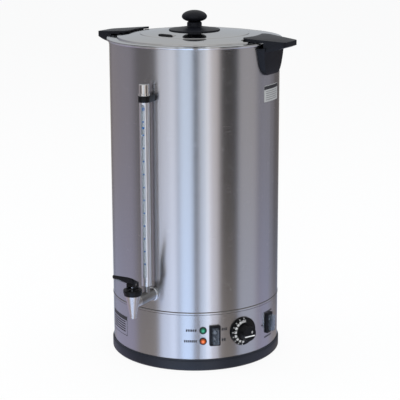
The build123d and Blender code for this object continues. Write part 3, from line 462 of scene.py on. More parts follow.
class Workshop:
    """Ways of making meshes that several pieces share."""

    @staticmethod
    def new(name: str, data: bpy.types.ID | None = None) -> Object:
        """Put a new object into the scene, with an empty mesh if no data is given."""
        obj = bpy.data.objects.new(name, data or bpy.data.meshes.new(name))
        bpy.context.scene.collection.objects.link(obj)
        return obj

    @staticmethod
    def evaluated(obj: Object) -> bpy.types.Mesh:
        """Return an object's shape after its modifiers as a new mesh."""
        bpy.context.view_layer.update()
        graph = bpy.context.evaluated_depsgraph_get()
        return bpy.data.meshes.new_from_object(obj.evaluated_get(graph))

    @classmethod
    def settle(cls, obj: Object) -> Object:
        """Turn an object's modifiers into its plain mesh."""
        mesh = cls.evaluated(obj)
        mesh.name = obj.name
        obj.modifiers.clear()
        obj.data = mesh
        return obj

    @classmethod
    def modify(cls, obj: Object, kind: str, **settings: Any) -> None:
        """Apply a modifier.

        Args:
            obj: Object to change.
            kind: Type name of the modifier.
            settings: Its properties.
        """
        modifier = obj.modifiers.new(kind.lower(), kind)
        for key, value in settings.items():
            setattr(modifier, key, value)
        cls.settle(obj)

    @staticmethod
    def crease(obj: Object, angle: float = 32.0) -> None:
        """Shade a mesh smoothly, apart from edges that turn by more than an angle."""
        mesh = obj.data
        mesh.polygons.foreach_set("use_smooth", [True] * len(mesh.polygons))
        mesh.set_sharp_from_angle(angle=radians(angle))

    @staticmethod
    def round_normals(obj: Object, slack: float = 6.0) -> None:
        """Point the normals of a turned mesh straight away from the Z axis.

        Args:
            obj: Mesh that was turned about the Z axis and then cut.
            slack: Largest correction in degrees; other faces, such as cut walls, stay.
        """
        mesh = obj.data
        limit = cos(radians(slack))
        on_axis, upright = 1e-5, 1e-3
        normals = []
        for loop, corner in zip(mesh.loops, mesh.corner_normals):
            normal = corner.vector.copy()
            away = mesh.vertices[loop.vertex_index].co.to_2d()
            flat = normal.to_2d()
            if away.length > on_axis and flat.length > upright:
                turn = flat.normalized().dot(away.normalized())
                if abs(turn) > limit:
                    level = away.normalized() * flat.length * (1 if turn > 0 else -1)
                    normal = Vector((level.x, level.y, normal.z))
            normals.append(normal)
        mesh.normals_split_custom_set(normals)

    @staticmethod
    def rounded(corners: Outline) -> list[tuple[float, float]]:
        """Round the corners of an outline.

        Args:
            corners: (x, y) or (x, y, radius) corners in order.

        Returns:
            The points of the rounded outline.
        """
        longest_share = 0.49  # of the side that a rounded corner may use up
        points: list[tuple[float, float]] = []
        for index, corner in enumerate(corners):
            here = Vector(corner[:2])
            radius = corner[2] if len(corner) > 2 else 0.0
            before = Vector(corners[index - 1][:2]) - here
            after = Vector(corners[(index + 1) % len(corners)][:2]) - here
            if radius <= 0 or min(before.length, after.length) < 1e-9:
                points.append(tuple(here))
                continue
            half = before.angle(after) / 2
            reach = min(radius / tan(half), before.length * longest_share, after.length * longest_share)
            radius = reach * tan(half)
            middle = here + (before.normalized() + after.normalized()).normalized() * radius / sin(half)
            start = here + before.normalized() * reach - middle
            end = here + after.normalized() * reach - middle
            turn = atan2(start.x * end.y - start.y * end.x, start.dot(end))
            for step in range(ROUND_STEPS + 1):
                points.append(tuple(middle + Matrix.Rotation(turn * step / ROUND_STEPS, 2) @ start))
        return points

    @classmethod
    def turned(
        cls,
        name: str,
        corners: Outline,
        material: Material,
        place: Matrix | None = None,
        segments: int = 192,
    ) -> Object:
        """Turn an outline about an axis.

        Args:
            name: Name of the piece.
            corners: Closed outline as (radius, height) or (radius, height, corner radius).
            material: Material of the piece.
            place: Matrix that takes the local Z axis to the real one.
            segments: Number of faces round the axis.

        Returns:
            The turned piece.
        """
        points = cls.rounded(corners)
        mesh = bpy.data.meshes.new(name)
        spots = [(radius, 0.0, height) for radius, height in [*points, points[0]]]
        mesh.from_pydata(spots, [(i, i + 1) for i in range(len(points))], [])
        obj = Trees.turning().grow(cls.new(name, mesh), material, Segments=segments)
        with MeshEdit(obj) as bm:
            if bm.calc_volume(signed=True) < 0:
                bmesh.ops.reverse_faces(bm, faces=bm.faces)
        cls.crease(obj)
        if place is not None:
            obj.data.transform(place)
        return obj

    @classmethod
    def slab(
        cls,
        name: str,
        corners: Outline,
        low: float,
        high: float,
        material: Material,
        place: Matrix | None = None,
    ) -> Object:
        """Raise a flat outline to a slab.

        Args:
            name: Name of the piece.
            corners: Outline as (x, y) or (x, y, corner radius).
            low: Height of its underside.
            high: Height of its top.
            material: Material of the piece.
            place: Matrix that takes the slab to its place.

        Returns:
            The slab.
        """
        points = cls.rounded(corners)
        obj = cls.new(name)
        obj.data.materials.append(material)
        with MeshEdit(obj) as bm:
            floor = [bm.verts.new((x, y, low)) for x, y in points]
            roof = [bm.verts.new((x, y, high)) for x, y in points]
            bm.faces.new(list(reversed(floor)))
            bm.faces.new(roof)
            for index in range(len(points)):
                after = (index + 1) % len(points)
                bm.faces.new((floor[index], floor[after], roof[after], roof[index]))
            bmesh.ops.recalc_face_normals(bm, faces=bm.faces)
        if place is not None:
            obj.data.transform(place)
        return obj

    @classmethod
    def bars(cls, name: str, ink: Material, count: int, pitch: float, *size: float) -> Object:
        """Print bars one above the other, up the Y axis from the origin.

        Args:
            name: Name of the row.
            ink: Material of the bars.
            count: Number of bars.
            pitch: Distance from one bar to the next.
            size: Width, height and thickness of a bar.

        Returns:
            The row.
        """
        return Trees.row().grow(cls.new(name), ink, Count=count, Pitch=pitch, Bar=size)

    @classmethod
    def carve(cls, obj: Object, cutters: Iterable[Object]) -> None:
        """Cut helper objects out of a turned piece and remove them."""
        for cutter in cutters:
            cls.modify(obj, "BOOLEAN", operation="DIFFERENCE", solver="EXACT", object=cutter)
            bpy.data.objects.remove(cutter)
        cls.crease(obj)
        cls.round_normals(obj)

    @classmethod
    def moulding(
        cls, node: str, name: str, finish: Slot, flat: float, edge: float, segments: int, angle: float
    ) -> Object:
        """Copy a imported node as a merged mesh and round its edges.

        Args:
            node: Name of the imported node.
            name: Name of the copy.
            finish: Slot whose material the copy gets.
            flat: Angle in degrees under which neighbouring faces are joined first.
            edge: Width of the rounding.
            segments: Faces of the rounding.
            angle: Angle in degrees over which an edge is rounded.

        Returns:
            The copy.
        """
        obj = cls.new(name, frame["nodes"][node].data.copy())
        obj.data.materials.clear()
        obj.data.materials.append(FINISHES[finish])
        with MeshEdit(obj) as bm:
            bmesh.ops.remove_doubles(bm, verts=bm.verts, dist=2e-6)
            bmesh.ops.dissolve_limit(bm, angle_limit=radians(flat), verts=bm.verts, edges=bm.edges)
        if obj.data.has_custom_normals:
            obj.data.attributes.remove(obj.data.attributes["custom_normal"])
        limit = {"limit_method": "ANGLE", "angle_limit": radians(angle)}
        cls.modify(obj, "BEVEL", width=edge, segments=segments, **limit)
        cls.crease(obj, 50.0)
        return obj

    @classmethod
    def join(cls, name: str, pieces: Sequence[Object]) -> Object:
        """Join several objects into one mesh and remove them."""
        target = cls.new(name)
        slots: list[Material] = []
        with MeshEdit(target) as bm:
            for piece in pieces:
                first = len(bm.faces)
                bm.from_mesh(piece.data)
                bm.faces.ensure_lookup_table()
                own = list(piece.data.materials)
                slots += [material for material in own if material not in slots]
                for face in bm.faces[first:]:
                    face.material_index = slots.index(own[face.material_index])
        for material in slots:
            target.data.materials.append(material)
        for piece in pieces:
            bpy.data.objects.remove(piece)
        return target

    @classmethod
    def lettering(
        cls, text: str, height: float, depth: float, material: Material, weight: float = 0.0
    ) -> Object:
        """Make plain figures as a thin mesh in the XY plane, centred on the origin.

        Args:
            text: The figures.
            height: Height of a figure.
            depth: Thickness of the mesh.
            material: Material of the mesh.
            weight: How far the strokes are thickened, as a share of the height.

        Returns:
            The new mesh.
        """
        size_of_height = 1.38
        curve = bpy.data.curves.new("lettering", "FONT")
        curve.body = text
        curve.align_x = curve.align_y = "CENTER"
        curve.size = height * size_of_height
        curve.extrude = depth / 2
        curve.offset = height * weight
        curve.resolution_u = 3
        holder = cls.new("lettering", curve)
        mesh = cls.evaluated(holder)
        bpy.data.objects.remove(holder)
        mesh.materials.clear()
        mesh.materials.append(material)
        return cls.new("lettering", mesh)

    @staticmethod
    def wrap(obj: Object, azimuth: float, reach: float, level: float, centre: Vector = Vector()) -> None:
        """Lay a flat piece round an upright cylinder.

        Args:
            obj: Piece with x to the right, y up and z outwards.
            azimuth: Where its origin goes.
            reach: Radius of the cylinder.
            level: Height of its origin.
            centre: Point on the cylinder's axis.
        """
        longest = reach * radians(3.0)
        with MeshEdit(obj) as bm:
            while wide := [e for e in bm.edges if abs(e.verts[0].co.x - e.verts[1].co.x) > longest]:
                bmesh.ops.subdivide_edges(bm, edges=wide, cuts=1, use_grid_fill=False)
            for vertex in bm.verts:
                x, y, z = vertex.co
                turn, radius = radians(azimuth) + x / reach, reach + z
                vertex.co = (centre.x + radius * sin(turn), centre.y - radius * cos(turn), level + y)


def oblong(left: float, right: float, low: float, high: float, corner: float = 0.0) -> list[tuple]:
    """Return the corners of a rectangle, all rounded alike."""
    return [(left, low, corner), (right, low, corner), (right, high, corner), (left, high, corner)]


def shift(x: float, y: float, z: float = 0.0) -> Matrix:
    """Return a shift."""
    return Matrix.Translation((x, y, z))


def wall_place(azimuth: float, reach: float, level: float) -> Matrix:
    """Return the place of a flat piece on the body: x right, y up, z outwards.

    Args:
        azimuth: Azimuth of its origin.
        reach: Distance of its origin from the urn's axis.
        level: Height of its origin.

    Returns:
        The matrix.
    """
    turn = radians(azimuth)
    right = Vector((cos(turn), sin(turn), 0.0))
    out = Vector((sin(turn), -cos(turn), 0.0))
    origin = out * reach + Vector((0.0, 0.0, level))
    columns = [right, Vector((0.0, 0.0, 1.0)), out, origin]
    return Matrix([[*(c[row] for c in columns)] for row in range(3)] + [[0.0, 0.0, 0.0, 1.0]])


# ---------------------------------------------------------------------------------------------
# Finishes


def shaded(colour: Colour, factor: float, lift: float = 0.0) -> Colour:
    """Return a colour that is scaled, then lifted, and stays at or below 1."""
    return tuple(min(1.0, c * factor + lift) for c in colour)


@dataclass(frozen=True)
class Finish:
    """Procedural material of one colour."""

    colour: Colour

    def surface(self, shader: Shader, point: Signal) -> dict[str, Any]:
        """Describe the surface.

        Args:
            shader: Material that new nodes go to.
            point: Point in the object's own space, in metres.

        Returns:
            Values or signals of the Principled node's sockets.
        """
        raise NotImplementedError

    def build(self, name: str) -> Material:
        """Make the material.

        Args:
            name: Name of the material.

        Returns:
            The material.
        """
        shader = Shader(name)
        inputs = self.surface(shader, shader.position())
        return shader.close(shader.place("ShaderNodeBsdfPrincipled", None, inputs).out())


@dataclass(frozen=True)
class Metal(Finish):
    """Worked metal: colour, gloss, the direction of its grain and slight stains."""

    roughness: float
    grain: Grain = Grain.PLAIN
    stretch: float = 0.0
    stain: float = 0.04
    grain_depth: float = 2e-6

    def surface(self, shader: Shader, point: Signal) -> dict[str, Any]:
        """Describe grain lines with wider streaks over them."""
        x, y, z = shader.axes(point)
        if self.grain is Grain.AROUND:
            around = x.math("ARCTAN2", y)
            lines = shader.noise(shader.vector(around * 0.5, 0.0, z * 260.0), 12.0, 3.0)
            streaks = shader.noise(shader.vector(around * 2.0, 3.0, z * 9.0), 4.0)
        elif self.grain is Grain.TURNED:
            lines = shader.noise(shader.vector(x * 4.0, y * 4.0, z * 1400.0), 2.0)
            streaks = shader.noise(point, 60.0)
        else:
            lines = shader.noise(point, 900.0)
            streaks = shader.noise(point, 35.0, 3.0)
        worn = (streaks - 0.5) * self.stain
        shade = (((lines - 0.5) * 0.05 + worn) * 2.0 + 0.5).math("ADD", 0.0, clamp=True)
        return {
            "Base Color": shader.blend(shade, shaded(self.colour, 0.88), shaded(self.colour, 1.12)),
            "Metallic": 1.0,
            "Roughness": (lines - 0.5) * 0.06 + worn + self.roughness,
            "Anisotropic": self.stretch,
            "Anisotropic Rotation": 0.25 if self.stretch else 0.0,
            "Normal": shader.bump(lines, self.grain_depth, 0.35),
        }


@dataclass(frozen=True)
class Moulded(Finish):
    """Moulded plastic or rubber with a fine spark-eroded skin."""

    roughness: float
    skin: float = 900.0
    skin_depth: float = 1.2e-5
    mottle: float = 0.15
    shine: float = 0.5
    # Strength of an even glow; on the scale strip this glow is painted light.
    glow: float = 0.0

    def surface(self, shader: Shader, point: Signal) -> dict[str, Any]:
        """Describe a fine skin with wider clouds under it."""
        skin = shader.noise(point, self.skin, 3.0)
        cloud = shader.noise(point, 22.0, 3.0)
        deep = shaded(self.colour, 1 - self.mottle)
        pale = shaded(self.colour, 1 + self.mottle, 0.002)
        return {
            "Base Color": shader.blend(cloud * 0.7 + skin * 0.3, deep, pale),
            "Roughness": self.roughness + (cloud - 0.5) * 0.12 + (skin - 0.5) * 0.10,
            "Specular IOR Level": self.shine,
            "Emission Color": self.colour,
            "Emission Strength": self.glow,
            "Normal": shader.bump(skin, self.skin_depth, 0.6),
        }


@dataclass(frozen=True)
class Clear(Finish):
    """Clear glass or soft clear plastic with faint smears."""

    roughness: float
    index: float
    alpha: float

    def surface(self, shader: Shader, point: Signal) -> dict[str, Any]:
        """Describe a clear body with smears."""
        smear = shader.noise(point, 120.0, 3.0)
        return {
            "Base Color": shader.blend(smear, self.colour, shaded(self.colour, 1.04)),
            "Roughness": self.roughness + (smear - 0.5) * 0.06,
            "IOR": self.index,
            "Transmission Weight": 0.9,
            "Alpha": self.alpha + (smear - 0.5) * 0.05,
        }


@dataclass(frozen=True)
class Lens(Finish):
    """Coloured lamp lens that is brighter in its middle."""

    glow: float
    azimuth: float
    level: float
    radius: float

    def surface(self, shader: Shader, point: Signal) -> dict[str, Any]:
        """Describe a glow round the lens's middle, crossed by eight facets."""
        x, y, z = shader.axes(point)
        side = x * cos(radians(self.azimuth)) + y * sin(radians(self.azimuth))
        rise = z - self.level
        radius = (side * side + rise * rise).math("SQRT") / self.radius
        facets = (side.math("ARCTAN2", rise) * 8.0).math("SINE") * 0.5 + 0.5
        middle = 1.0 - radius.rising(0.0, 0.85)
        deep, pale = shaded(self.colour, 0.22), shaded(self.colour, 1.5, 0.03)
        face = shader.blend(middle * 0.85 + facets * 0.10, deep, pale)
        return {
            "Base Color": face,
            "Roughness": 0.10 + facets * 0.06,
            "Coat Weight": 0.25,
            "Coat Roughness": 0.05,
            "Emission Color": face,
            "Emission Strength": self.glow,
        }


@dataclass(frozen=True)
class Ink(Finish):
    """Printed mark: flat colour with slightly uneven cover."""

    roughness: float = 0.5

    def surface(self, shader: Shader, point: Signal) -> dict[str, Any]:
        """Describe the uneven cover."""
        cover = shader.noise(point, 1500.0)
        deep, pale = shaded(self.colour, 0.92), shaded(self.colour, 1.1, 0.02)
        return {
            "Base Color": shader.blend(cover, deep, pale),
            "Roughness": self.roughness + (cover - 0.5) * 0.1,
        }


@dataclass(frozen=True)
class Blanket(Finish):
    """Pressed mineral wool."""

    def surface(self, shader: Shader, point: Signal) -> dict[str, Any]:
        """Describe strands that lie flat."""
        stretched = [axis * scale for axis, scale in zip(shader.axes(point), (90, 90, 400))]
        strands = shader.noise(shader.vector(*stretched), 2.0, 6.0)
        return {
            "Base Color": shader.blend(strands, shaded(self.colour, 0.6), self.colour),
            "Roughness": 0.95,
            "Sheen Weight": 0.3,
            "Normal": shader.bump(strands, 6e-4, 0.8),
        }


@dataclass(frozen=True)
class Panel:
    """Where things sit on the control skirt."""

    lamp_azimuth: float = 34.9
    lamp_radius: float = 5.0 * MM
    power_level: float = 74.0 * MM
    heating_level: float = 54.4 * MM
    main_azimuth: float = 42.8
    boost_azimuth: float = 90.0
    switch_level: float = 64.0 * MM
    dial_azimuth: float = 63.4
    dial_level: float = 65.1 * MM
    index_azimuth: float = 81.8
    index_level: float = 63.6 * MM


@dataclass(frozen=True)
class Handle:
    """Outline of a handle seen from above."""

    lip_reach: float = 115.0 * MM
    lip_half: float = 45.5 * MM
    lip_corner: float = 11.0 * MM
    grip_reach: float = 189.0 * MM
    grip_half: float = 24.0 * MM
    grip_corner: float = 7.0 * MM


PANEL = Panel()
HANDLE = Handle()


def make_finishes() -> dict[Slot, Material]:
    """Build the material of every slot.

    Returns:
        The materials by slot.
    """
    lens = {"azimuth": PANEL.lamp_azimuth, "radius": PANEL.lamp_radius}
    finishes = {
        Slot.SHEET: Metal((0.60, 0.595, 0.60), 0.26, Grain.AROUND, 0.72, 0.03),
        Slot.TURNED: Metal((0.68, 0.68, 0.69), 0.22, Grain.TURNED, 0.3, 0.03),
        Slot.POLISHED: Metal((0.74, 0.74, 0.75), 0.10, stain=0.05),
        Slot.TANK: Metal((0.58, 0.58, 0.59), 0.30, Grain.AROUND, 0.4, 0.05),
        Slot.ALUMINIUM: Metal((0.72, 0.73, 0.74), 0.38, stain=0.08),
        Slot.ZINC: Metal((0.60, 0.62, 0.64), 0.32, stain=0.12),
        Slot.BRASS: Metal((0.72, 0.56, 0.30), 0.28, Grain.TURNED, stain=0.08),
        Slot.BLACK: Moulded((0.006, 0.0068, 0.010), 0.40, shine=0.19),
        Slot.GLOSS_BLACK: Moulded((0.004, 0.0042, 0.005), 0.30, 700.0, 5e-6, shine=0.19),
        Slot.BASE: Moulded((0.012, 0.015, 0.024), 0.36, shine=0.40),
        Slot.PALE: Moulded((0.76, 0.76, 0.73), 0.45, 600.0, 1e-5, 0.04),
        Slot.SILICONE: Moulded((0.52, 0.53, 0.53), 0.50, 500.0, 1e-5, 0.05),
        Slot.RUBBER: Moulded((0.020, 0.020, 0.020), 0.70, 500.0, 2e-5),
        Slot.BOOT: Clear((0.42, 0.50, 0.62), 0.20, 1.42, 0.68),
        Slot.TUBE: Clear((0.93, 0.97, 1.0), 0.02, 1.47, 0.14),
        Slot.GREEN: Lens((0.004, 0.24, 0.13), 0.30, level=PANEL.power_level, **lens),
        Slot.AMBER: Lens((0.72, 0.11, 0.006), 0.45, level=PANEL.heating_level, **lens),
        Slot.WOOL: Blanket((0.72, 0.68, 0.56)),
        Slot.WIRE: Moulded((0.06, 0.07, 0.30), 0.40, 400.0, 8e-6),
        # The scale strip glows although it is no lamp: painted light that lifts it out of the gauge's shade.
        Slot.SCALE: Moulded((0.60, 0.67, 0.75), 0.35, 700.0, 4e-6, 0.05, glow=0.22),
    }
    return {slot: finish.build(slot.value) for slot, finish in finishes.items()}


FINISHES = make_finishes()
WHITE_INK = Ink((0.82, 0.83, 0.84)).build("white_ink")
BLACK_INK = Ink((0.015, 0.015, 0.018)).build("black_ink")
BLUE_INK = Ink((0.01, 0.13, 0.42)).build("blue_ink")
GREY_INK = Ink((0.20, 0.20, 0.21)).build("grey_ink")
SHADOW_GAP = Ink((0.006, 0.006, 0.007), 0.7).build("shadow_gap")
PRESSED_STEEL = Metal((0.62, 0.62, 0.62), 0.085, stain=0.02, grain_depth=4e-7).build("pressed_steel")
# Brownish dark colour in the seam's grooves: painted shade.
SEAM_SHADE = Ink((0.040, 0.032, 0.028), 0.6).build("seam_shade")
LABEL_STOCK = Moulded((0.45, 0.46, 0.46), 0.45, 600.0, 1e-5, 0.05).build("label_stock")
OWN_FINISH = {
    "gauge_guard": Metal((0.86, 0.86, 0.87), 0.34, Grain.TURNED, stain=0.03).build("satin_guard"),
    "tap_body": Metal((0.62, 0.59, 0.57), 0.32, Grain.TURNED, stain=0.03).build("satin_spout"),
    "tap_shank": Metal((0.33, 0.32, 0.31), 0.36, stain=0.06).build("dull_shank"),
}


def hand_over(obj: Object, body: Body, slot: Slot, *nodes: str) -> None:
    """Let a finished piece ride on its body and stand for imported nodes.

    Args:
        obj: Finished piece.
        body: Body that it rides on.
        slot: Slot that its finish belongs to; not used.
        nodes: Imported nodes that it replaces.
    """
    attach(obj, body.value)
    if nodes:
        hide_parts(*nodes)
    LOG.info("%s: %d faces, rides on %s", obj.name, len(obj.data.polygons), body.value)


# ---------------------------------------------------------------------------------------------
# The urn


@dataclass
class Shell:
    """Sheet metal body: seam, rim and base ring."""

    sheet: float = 1.0 * MM
    seam_web: float = 1.9 * MM
    lower_groove: float = 0.78 * MM
    upper_groove: float = 1.3 * MM
    bead_corner: float = 0.55 * MM
    groove_corner: float = 0.2 * MM
    # The next two sizes place dark rings of painted shade in the seam's grooves.
    shade_strip_depth: float = 0.3 * MM  # below the wall
    shade_strip_root: float = 0.1 * MM  # into the seam ring
    base_step: float = 3.0 * MM
    base_inset: float = 1.1 * MM
    base_chamfer: float = 3.0 * MM
    base_gap: float = 0.25 * MM
    foot_width: float = 14.5 * MM
    flange_reach: float = 10.0 * MM
    flange_low: float = 5.0 * MM
    flange_high: float = 9.0 * MM
    pad_half_width: float = 3.5 * MM
    pad_half_length: float = 15.0 * MM
    pad_corner: float = 3.4 * MM
    pad_depth: float = 3.0 * MM

    def build(self) -> None:
        """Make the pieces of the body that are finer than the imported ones."""
        self._seam()
        self._base()
        self._rim()

    def _seam(self) -> None:
        """Make the seam ring, a raised bead between two grooves, and the dark rings of painted shade in
        them.
        """
        low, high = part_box("seam_ring")
        skirt_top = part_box("control_skirt")[1].z
        jacket_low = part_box("outer_jacket")[0].z
        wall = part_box("outer_jacket")[1].x
        back = wall - self.sheet
        inner = back - self.seam_web
        bead_low, bead_high = skirt_top + self.lower_groove, jacket_low - self.upper_groove
        outline = (
            (inner, low.z),
            (back, low.z),
            (back, bead_low, self.groove_corner),
            (high.x, bead_low, self.bead_corner),
            (high.x, bead_high, self.bead_corner),
            (back, bead_high, self.groove_corner),
            (back, high.z),
            (inner, high.z),
        )
        bead = Workshop.turned("seam_bead", outline, FINISHES[Slot.SHEET], segments=FINE)
        hand_over(bead, Body.URN, Slot.TURNED, "seam_ring")
        # Dark rings in both grooves: painted shade, where the grooves fall into shadow.
        lines = []
        for foot, top in ((skirt_top, bead_low), (bead_high, jacket_low)):
            strip = oblong(back - self.shade_strip_root, wall - self.shade_strip_depth, foot, top)
            lines.append(Workshop.turned("line", strip, SEAM_SHADE, segments=FINE))
        hand_over(Workshop.join("seam_painted_shade", lines), Body.URN, Slot.RUBBER)

    def _base(self) -> None:
        """Make the base ring: rounded foot, flat wall and a stepped upper lip."""
        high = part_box("base_ring")[1]
        skirt_low, skirt_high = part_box("control_skirt")
        outer, step = high.x, high.z - self.base_step
        lip = outer - self.base_inset
        inner = skirt_high.x + self.base_gap
        foot = outer - self.foot_width
        flange = foot - self.flange_reach
        outline = (
            (foot, 0.0, 0.6 * MM),
            (outer - self.base_chamfer, 0.0, 1.4 * MM),
            (outer, self.base_chamfer, 1.6 * MM),
            (outer, step, 0.5 * MM),
            (lip, step + 0.2 * MM, 0.15 * MM),
            (lip, high.z, 0.4 * MM),
            (inner, high.z, 0.3 * MM),
            (inner, skirt_low.z),
            (foot, skirt_low.z),
            (foot, self.flange_high),
            (flange, self.flange_high),
            (flange, self.flange_low),
            (foot, self.flange_low),
        )
        plastic = FINISHES[Slot.BASE]
        ring = Workshop.turned("base_shroud", outline, plastic, segments=FINE)
        x, y = self.pad_half_width, self.pad_half_length
        middle = shift((foot + outer - self.base_chamfer) / 2, 0.0)
        pockets = []
        for azimuth in (45, 135, 225, 315):
            place = Matrix.Rotation(radians(azimuth), 4, "Z") @ middle
            corners = oblong(-x, x, -y, y, self.pad_corner)
            pockets.append(Workshop.slab("pocket", corners, -1.0 * MM, self.pad_depth, plastic, place))
        Workshop.carve(ring, pockets)
        hand_over(ring, Body.URN, Slot.BASE, "base_ring")

    def _rim(self) -> None:
        """Make the top ring: a flat collar that ends in a rolled rim."""
        low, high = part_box("top_ring")
        roll = (high.z - low.z) / 2
        reach, level = high.x - roll, low.z + roll
        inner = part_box("inner_tank")[1].x - self.sheet
        half = self.sheet / 2
        lip = asin(half / roll)
        steps = 20
        angles = (-pi + lip + (2 * pi - 2 * lip) * step / steps for step in range(steps + 1))
        arc = ((reach + roll * cos(angle), level + roll * sin(angle)) for angle in angles)
        outline = [(inner, level - half), *arc, (inner, level + half)]
        rim = Workshop.turned("rolled_rim", outline, FINISHES[Slot.POLISHED], segments=FINE)
        hand_over(rim, Body.URN, Slot.POLISHED, "top_ring")


@dataclass
class Lid:
    """Domed lid with its steam louvre, handle notches and knob."""

    sheet: float = 1.0 * MM
    crown_radius: float = 46.0 * MM
    crease_radius: float = 97.0 * MM
    crease_level: float = 573.4 * MM
    riser_radius: float = 136.0 * MM
    riser_level: float = 568.8 * MM
    riser_run: float = 0.8 * MM
    press_corner: float = 0.7 * MM
    plug_radius: float = 114.0 * MM
    plug_lip: float = 2.5 * MM
    plug_sink: float = 1.4 * MM  # upper end of the plug below the top of the lid
    notch_gap: float = 1.2 * MM
    notch_low: float = 560.0 * MM
    notch_high: float = 590.0 * MM
    louvre_azimuth: float = -8.0
    louvre_reach: float = 76.0 * MM
    louvre_length: float = 33.0 * MM
    louvre_depth: float = 9.0 * MM
    louvre_rise: float = 3.2 * MM
    louvre_sheet: float = 0.7 * MM
    louvre_sink: float = 0.2 * MM
    # Size of the dark slab of painted shade in the louvre's mouth:
    mouth_shade_inset: float = 1.6 * MM
    mouth_shade_high: float = 2.3 * MM
    knob_bore: float = 3.05 * MM
    knob_bore_depth: float = 20.5 * MM
    knob_neck: float = 13.0 * MM
    knob_head: float = 22.2 * MM
    knob_crown: float = 11.5 * MM  # from the widest level up
    knob_chin: float = 9.4 * MM  # from the widest level down

    def build(self) -> None:
        """Make the lid, its plug, its louvre and its knob."""
        self._shell()
        self._plug()
        self._louvre()
        self._knob()

    def _shell(self) -> None:
        """Make the pressed lid with its notches."""
        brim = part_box("top_ring")[1].z + self.sheet
        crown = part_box("lid_knob")[0].z
        corner, crease, level = self.press_corner, self.crease_radius, self.crease_level
        upper = [
            (0.0, crown),
            (self.crown_radius, crown, 3.0 * MM),
            (crease - 1.4 * MM, level + 0.5 * MM, corner),
            (crease, level - 0.9 * MM, corner),
            (crease + 1.6 * MM, level - 0.2 * MM, corner),
            (self.riser_radius, self.riser_level, 1.6 * MM),
            (self.riser_radius + self.riser_run, brim, corner),
            (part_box("lid_shell")[1].y, brim, 0.3 * MM),
        ]
        lower = [(r, z - self.sheet) for r, z, *_ in reversed(upper)]
        pressed = Workshop.turned("lid_pressing", [*upper, *lower], PRESSED_STEEL, segments=FINE)
        Workshop.carve(pressed, [self._notch(side) for side in (1, -1)])
        hand_over(pressed, Body.LID, Slot.SHEET, "lid_shell")

    def _notch(self, side: int) -> Object:
        """Make the cutter of the notch under a handle's lip."""
        gap = self.notch_gap
        inner, outer = HANDLE.lip_reach - gap, HANDLE.grip_reach + gap
        half_in, half_out = HANDLE.lip_half + gap, HANDLE.grip_half + gap
        inner_corner, outer_corner = HANDLE.lip_corner + gap, HANDLE.grip_corner + gap
        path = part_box("lid_seal")[1].x
        reach = asin(sqrt(path**2 - inner**2) / path)
        half_steps = 6
        arc = [reach * (1 - step / half_steps) for step in range(2 * half_steps + 1)]
        corners = (
            (side * inner, -half_in, inner_corner),
            (side * outer, -half_out, outer_corner),
            (side * outer, half_out, outer_corner),
            (side * inner, half_in, inner_corner),
            *((side * path * cos(angle), path * sin(angle)) for angle in arc),
        )
        return Workshop.slab("notch", corners, self.notch_low, self.notch_high, FINISHES[Slot.SHEET])

    def _plug(self) -> None:
        """Make the plug flange, which ends inside the sheet of the lid's outer slope."""
        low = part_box("lid_shell")[0].z
        fall = (self.crease_level - self.riser_level) / (self.riser_radius - self.crease_radius)
        top = self.crease_level - (self.plug_radius - self.crease_radius) * fall - self.plug_sink
        inner, lip = self.plug_radius - self.sheet, self.plug_radius + self.plug_lip
        outline = (
            (inner, low, 0.4 * MM),
            (lip, low, 0.4 * MM),
            (lip, low + self.sheet, 0.3 * MM),
            (self.plug_radius, low + self.sheet, 0.3 * MM),
            (self.plug_radius, top),
            (inner, top),
        )
        hand_over(Workshop.turned("lid_plug", outline, PRESSED_STEEL), Body.LID, Slot.SHEET)

    def _louvre(self) -> None:
        """Make the steam louvre: a pressed hood whose mouth towards the rim holds a dark slab of painted
        shade.
        """
        half, depth = self.louvre_length / 2, self.louvre_depth
        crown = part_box("lid_knob")[0].z
        slope = (crown - self.crease_level) / (self.crease_radius - self.crown_radius)
        level = crown - (self.louvre_reach - self.crown_radius) * slope
        place = wall_place(self.louvre_azimuth, self.louvre_reach, level)
        hood = Workshop.new("lid_louvre")
        hood.data.materials.append(FINISHES[Slot.SHEET])
        columns, rows = 24, 10
        squareness, fullness = 5, 0.8
        with MeshEdit(hood) as bm:
            grid = []
            for i in range(columns + 1):
                u = -1 + 2 * i / columns
                side = sqrt(max(0.0, 1 - abs(u) ** squareness))
                line = []
                for j in range(rows + 1):
                    v = j / rows
                    rise = self.louvre_rise * side * sin(v * pi / 2) ** fullness
                    back = -depth / 2 + depth * v
                    line.append(bm.verts.new((u * half, rise - slope * back - self.louvre_sink, back)))
                grid.append(line)
            for i in range(columns):
                for j in range(rows):
                    bm.faces.new((grid[i][j], grid[i][j + 1], grid[i + 1][j + 1], grid[i + 1][j]))
        hood.data.transform(place)
        Workshop.modify(hood, "SOLIDIFY", thickness=self.louvre_sheet, offset=0.0)
        Workshop.crease(hood, 40.0)
        hand_over(hood, Body.LID, Slot.SHEET)
        # A dark slab inside the hood's mouth: painted shade.
        side = half - self.mouth_shade_inset
        mouth_shade = Workshop.slab(
            "louvre_mouth_shade",
            oblong(-side, side, -self.louvre_sink, self.mouth_shade_high, 0.4 * MM),
            depth / 2 - 2.4 * MM,
            depth / 2 - 1.2 * MM,
            SHADOW_GAP,
            place @ shift(0.0, -slope * depth / 2),
        )
        hand_over(mouth_shade, Body.LID, Slot.BLACK)

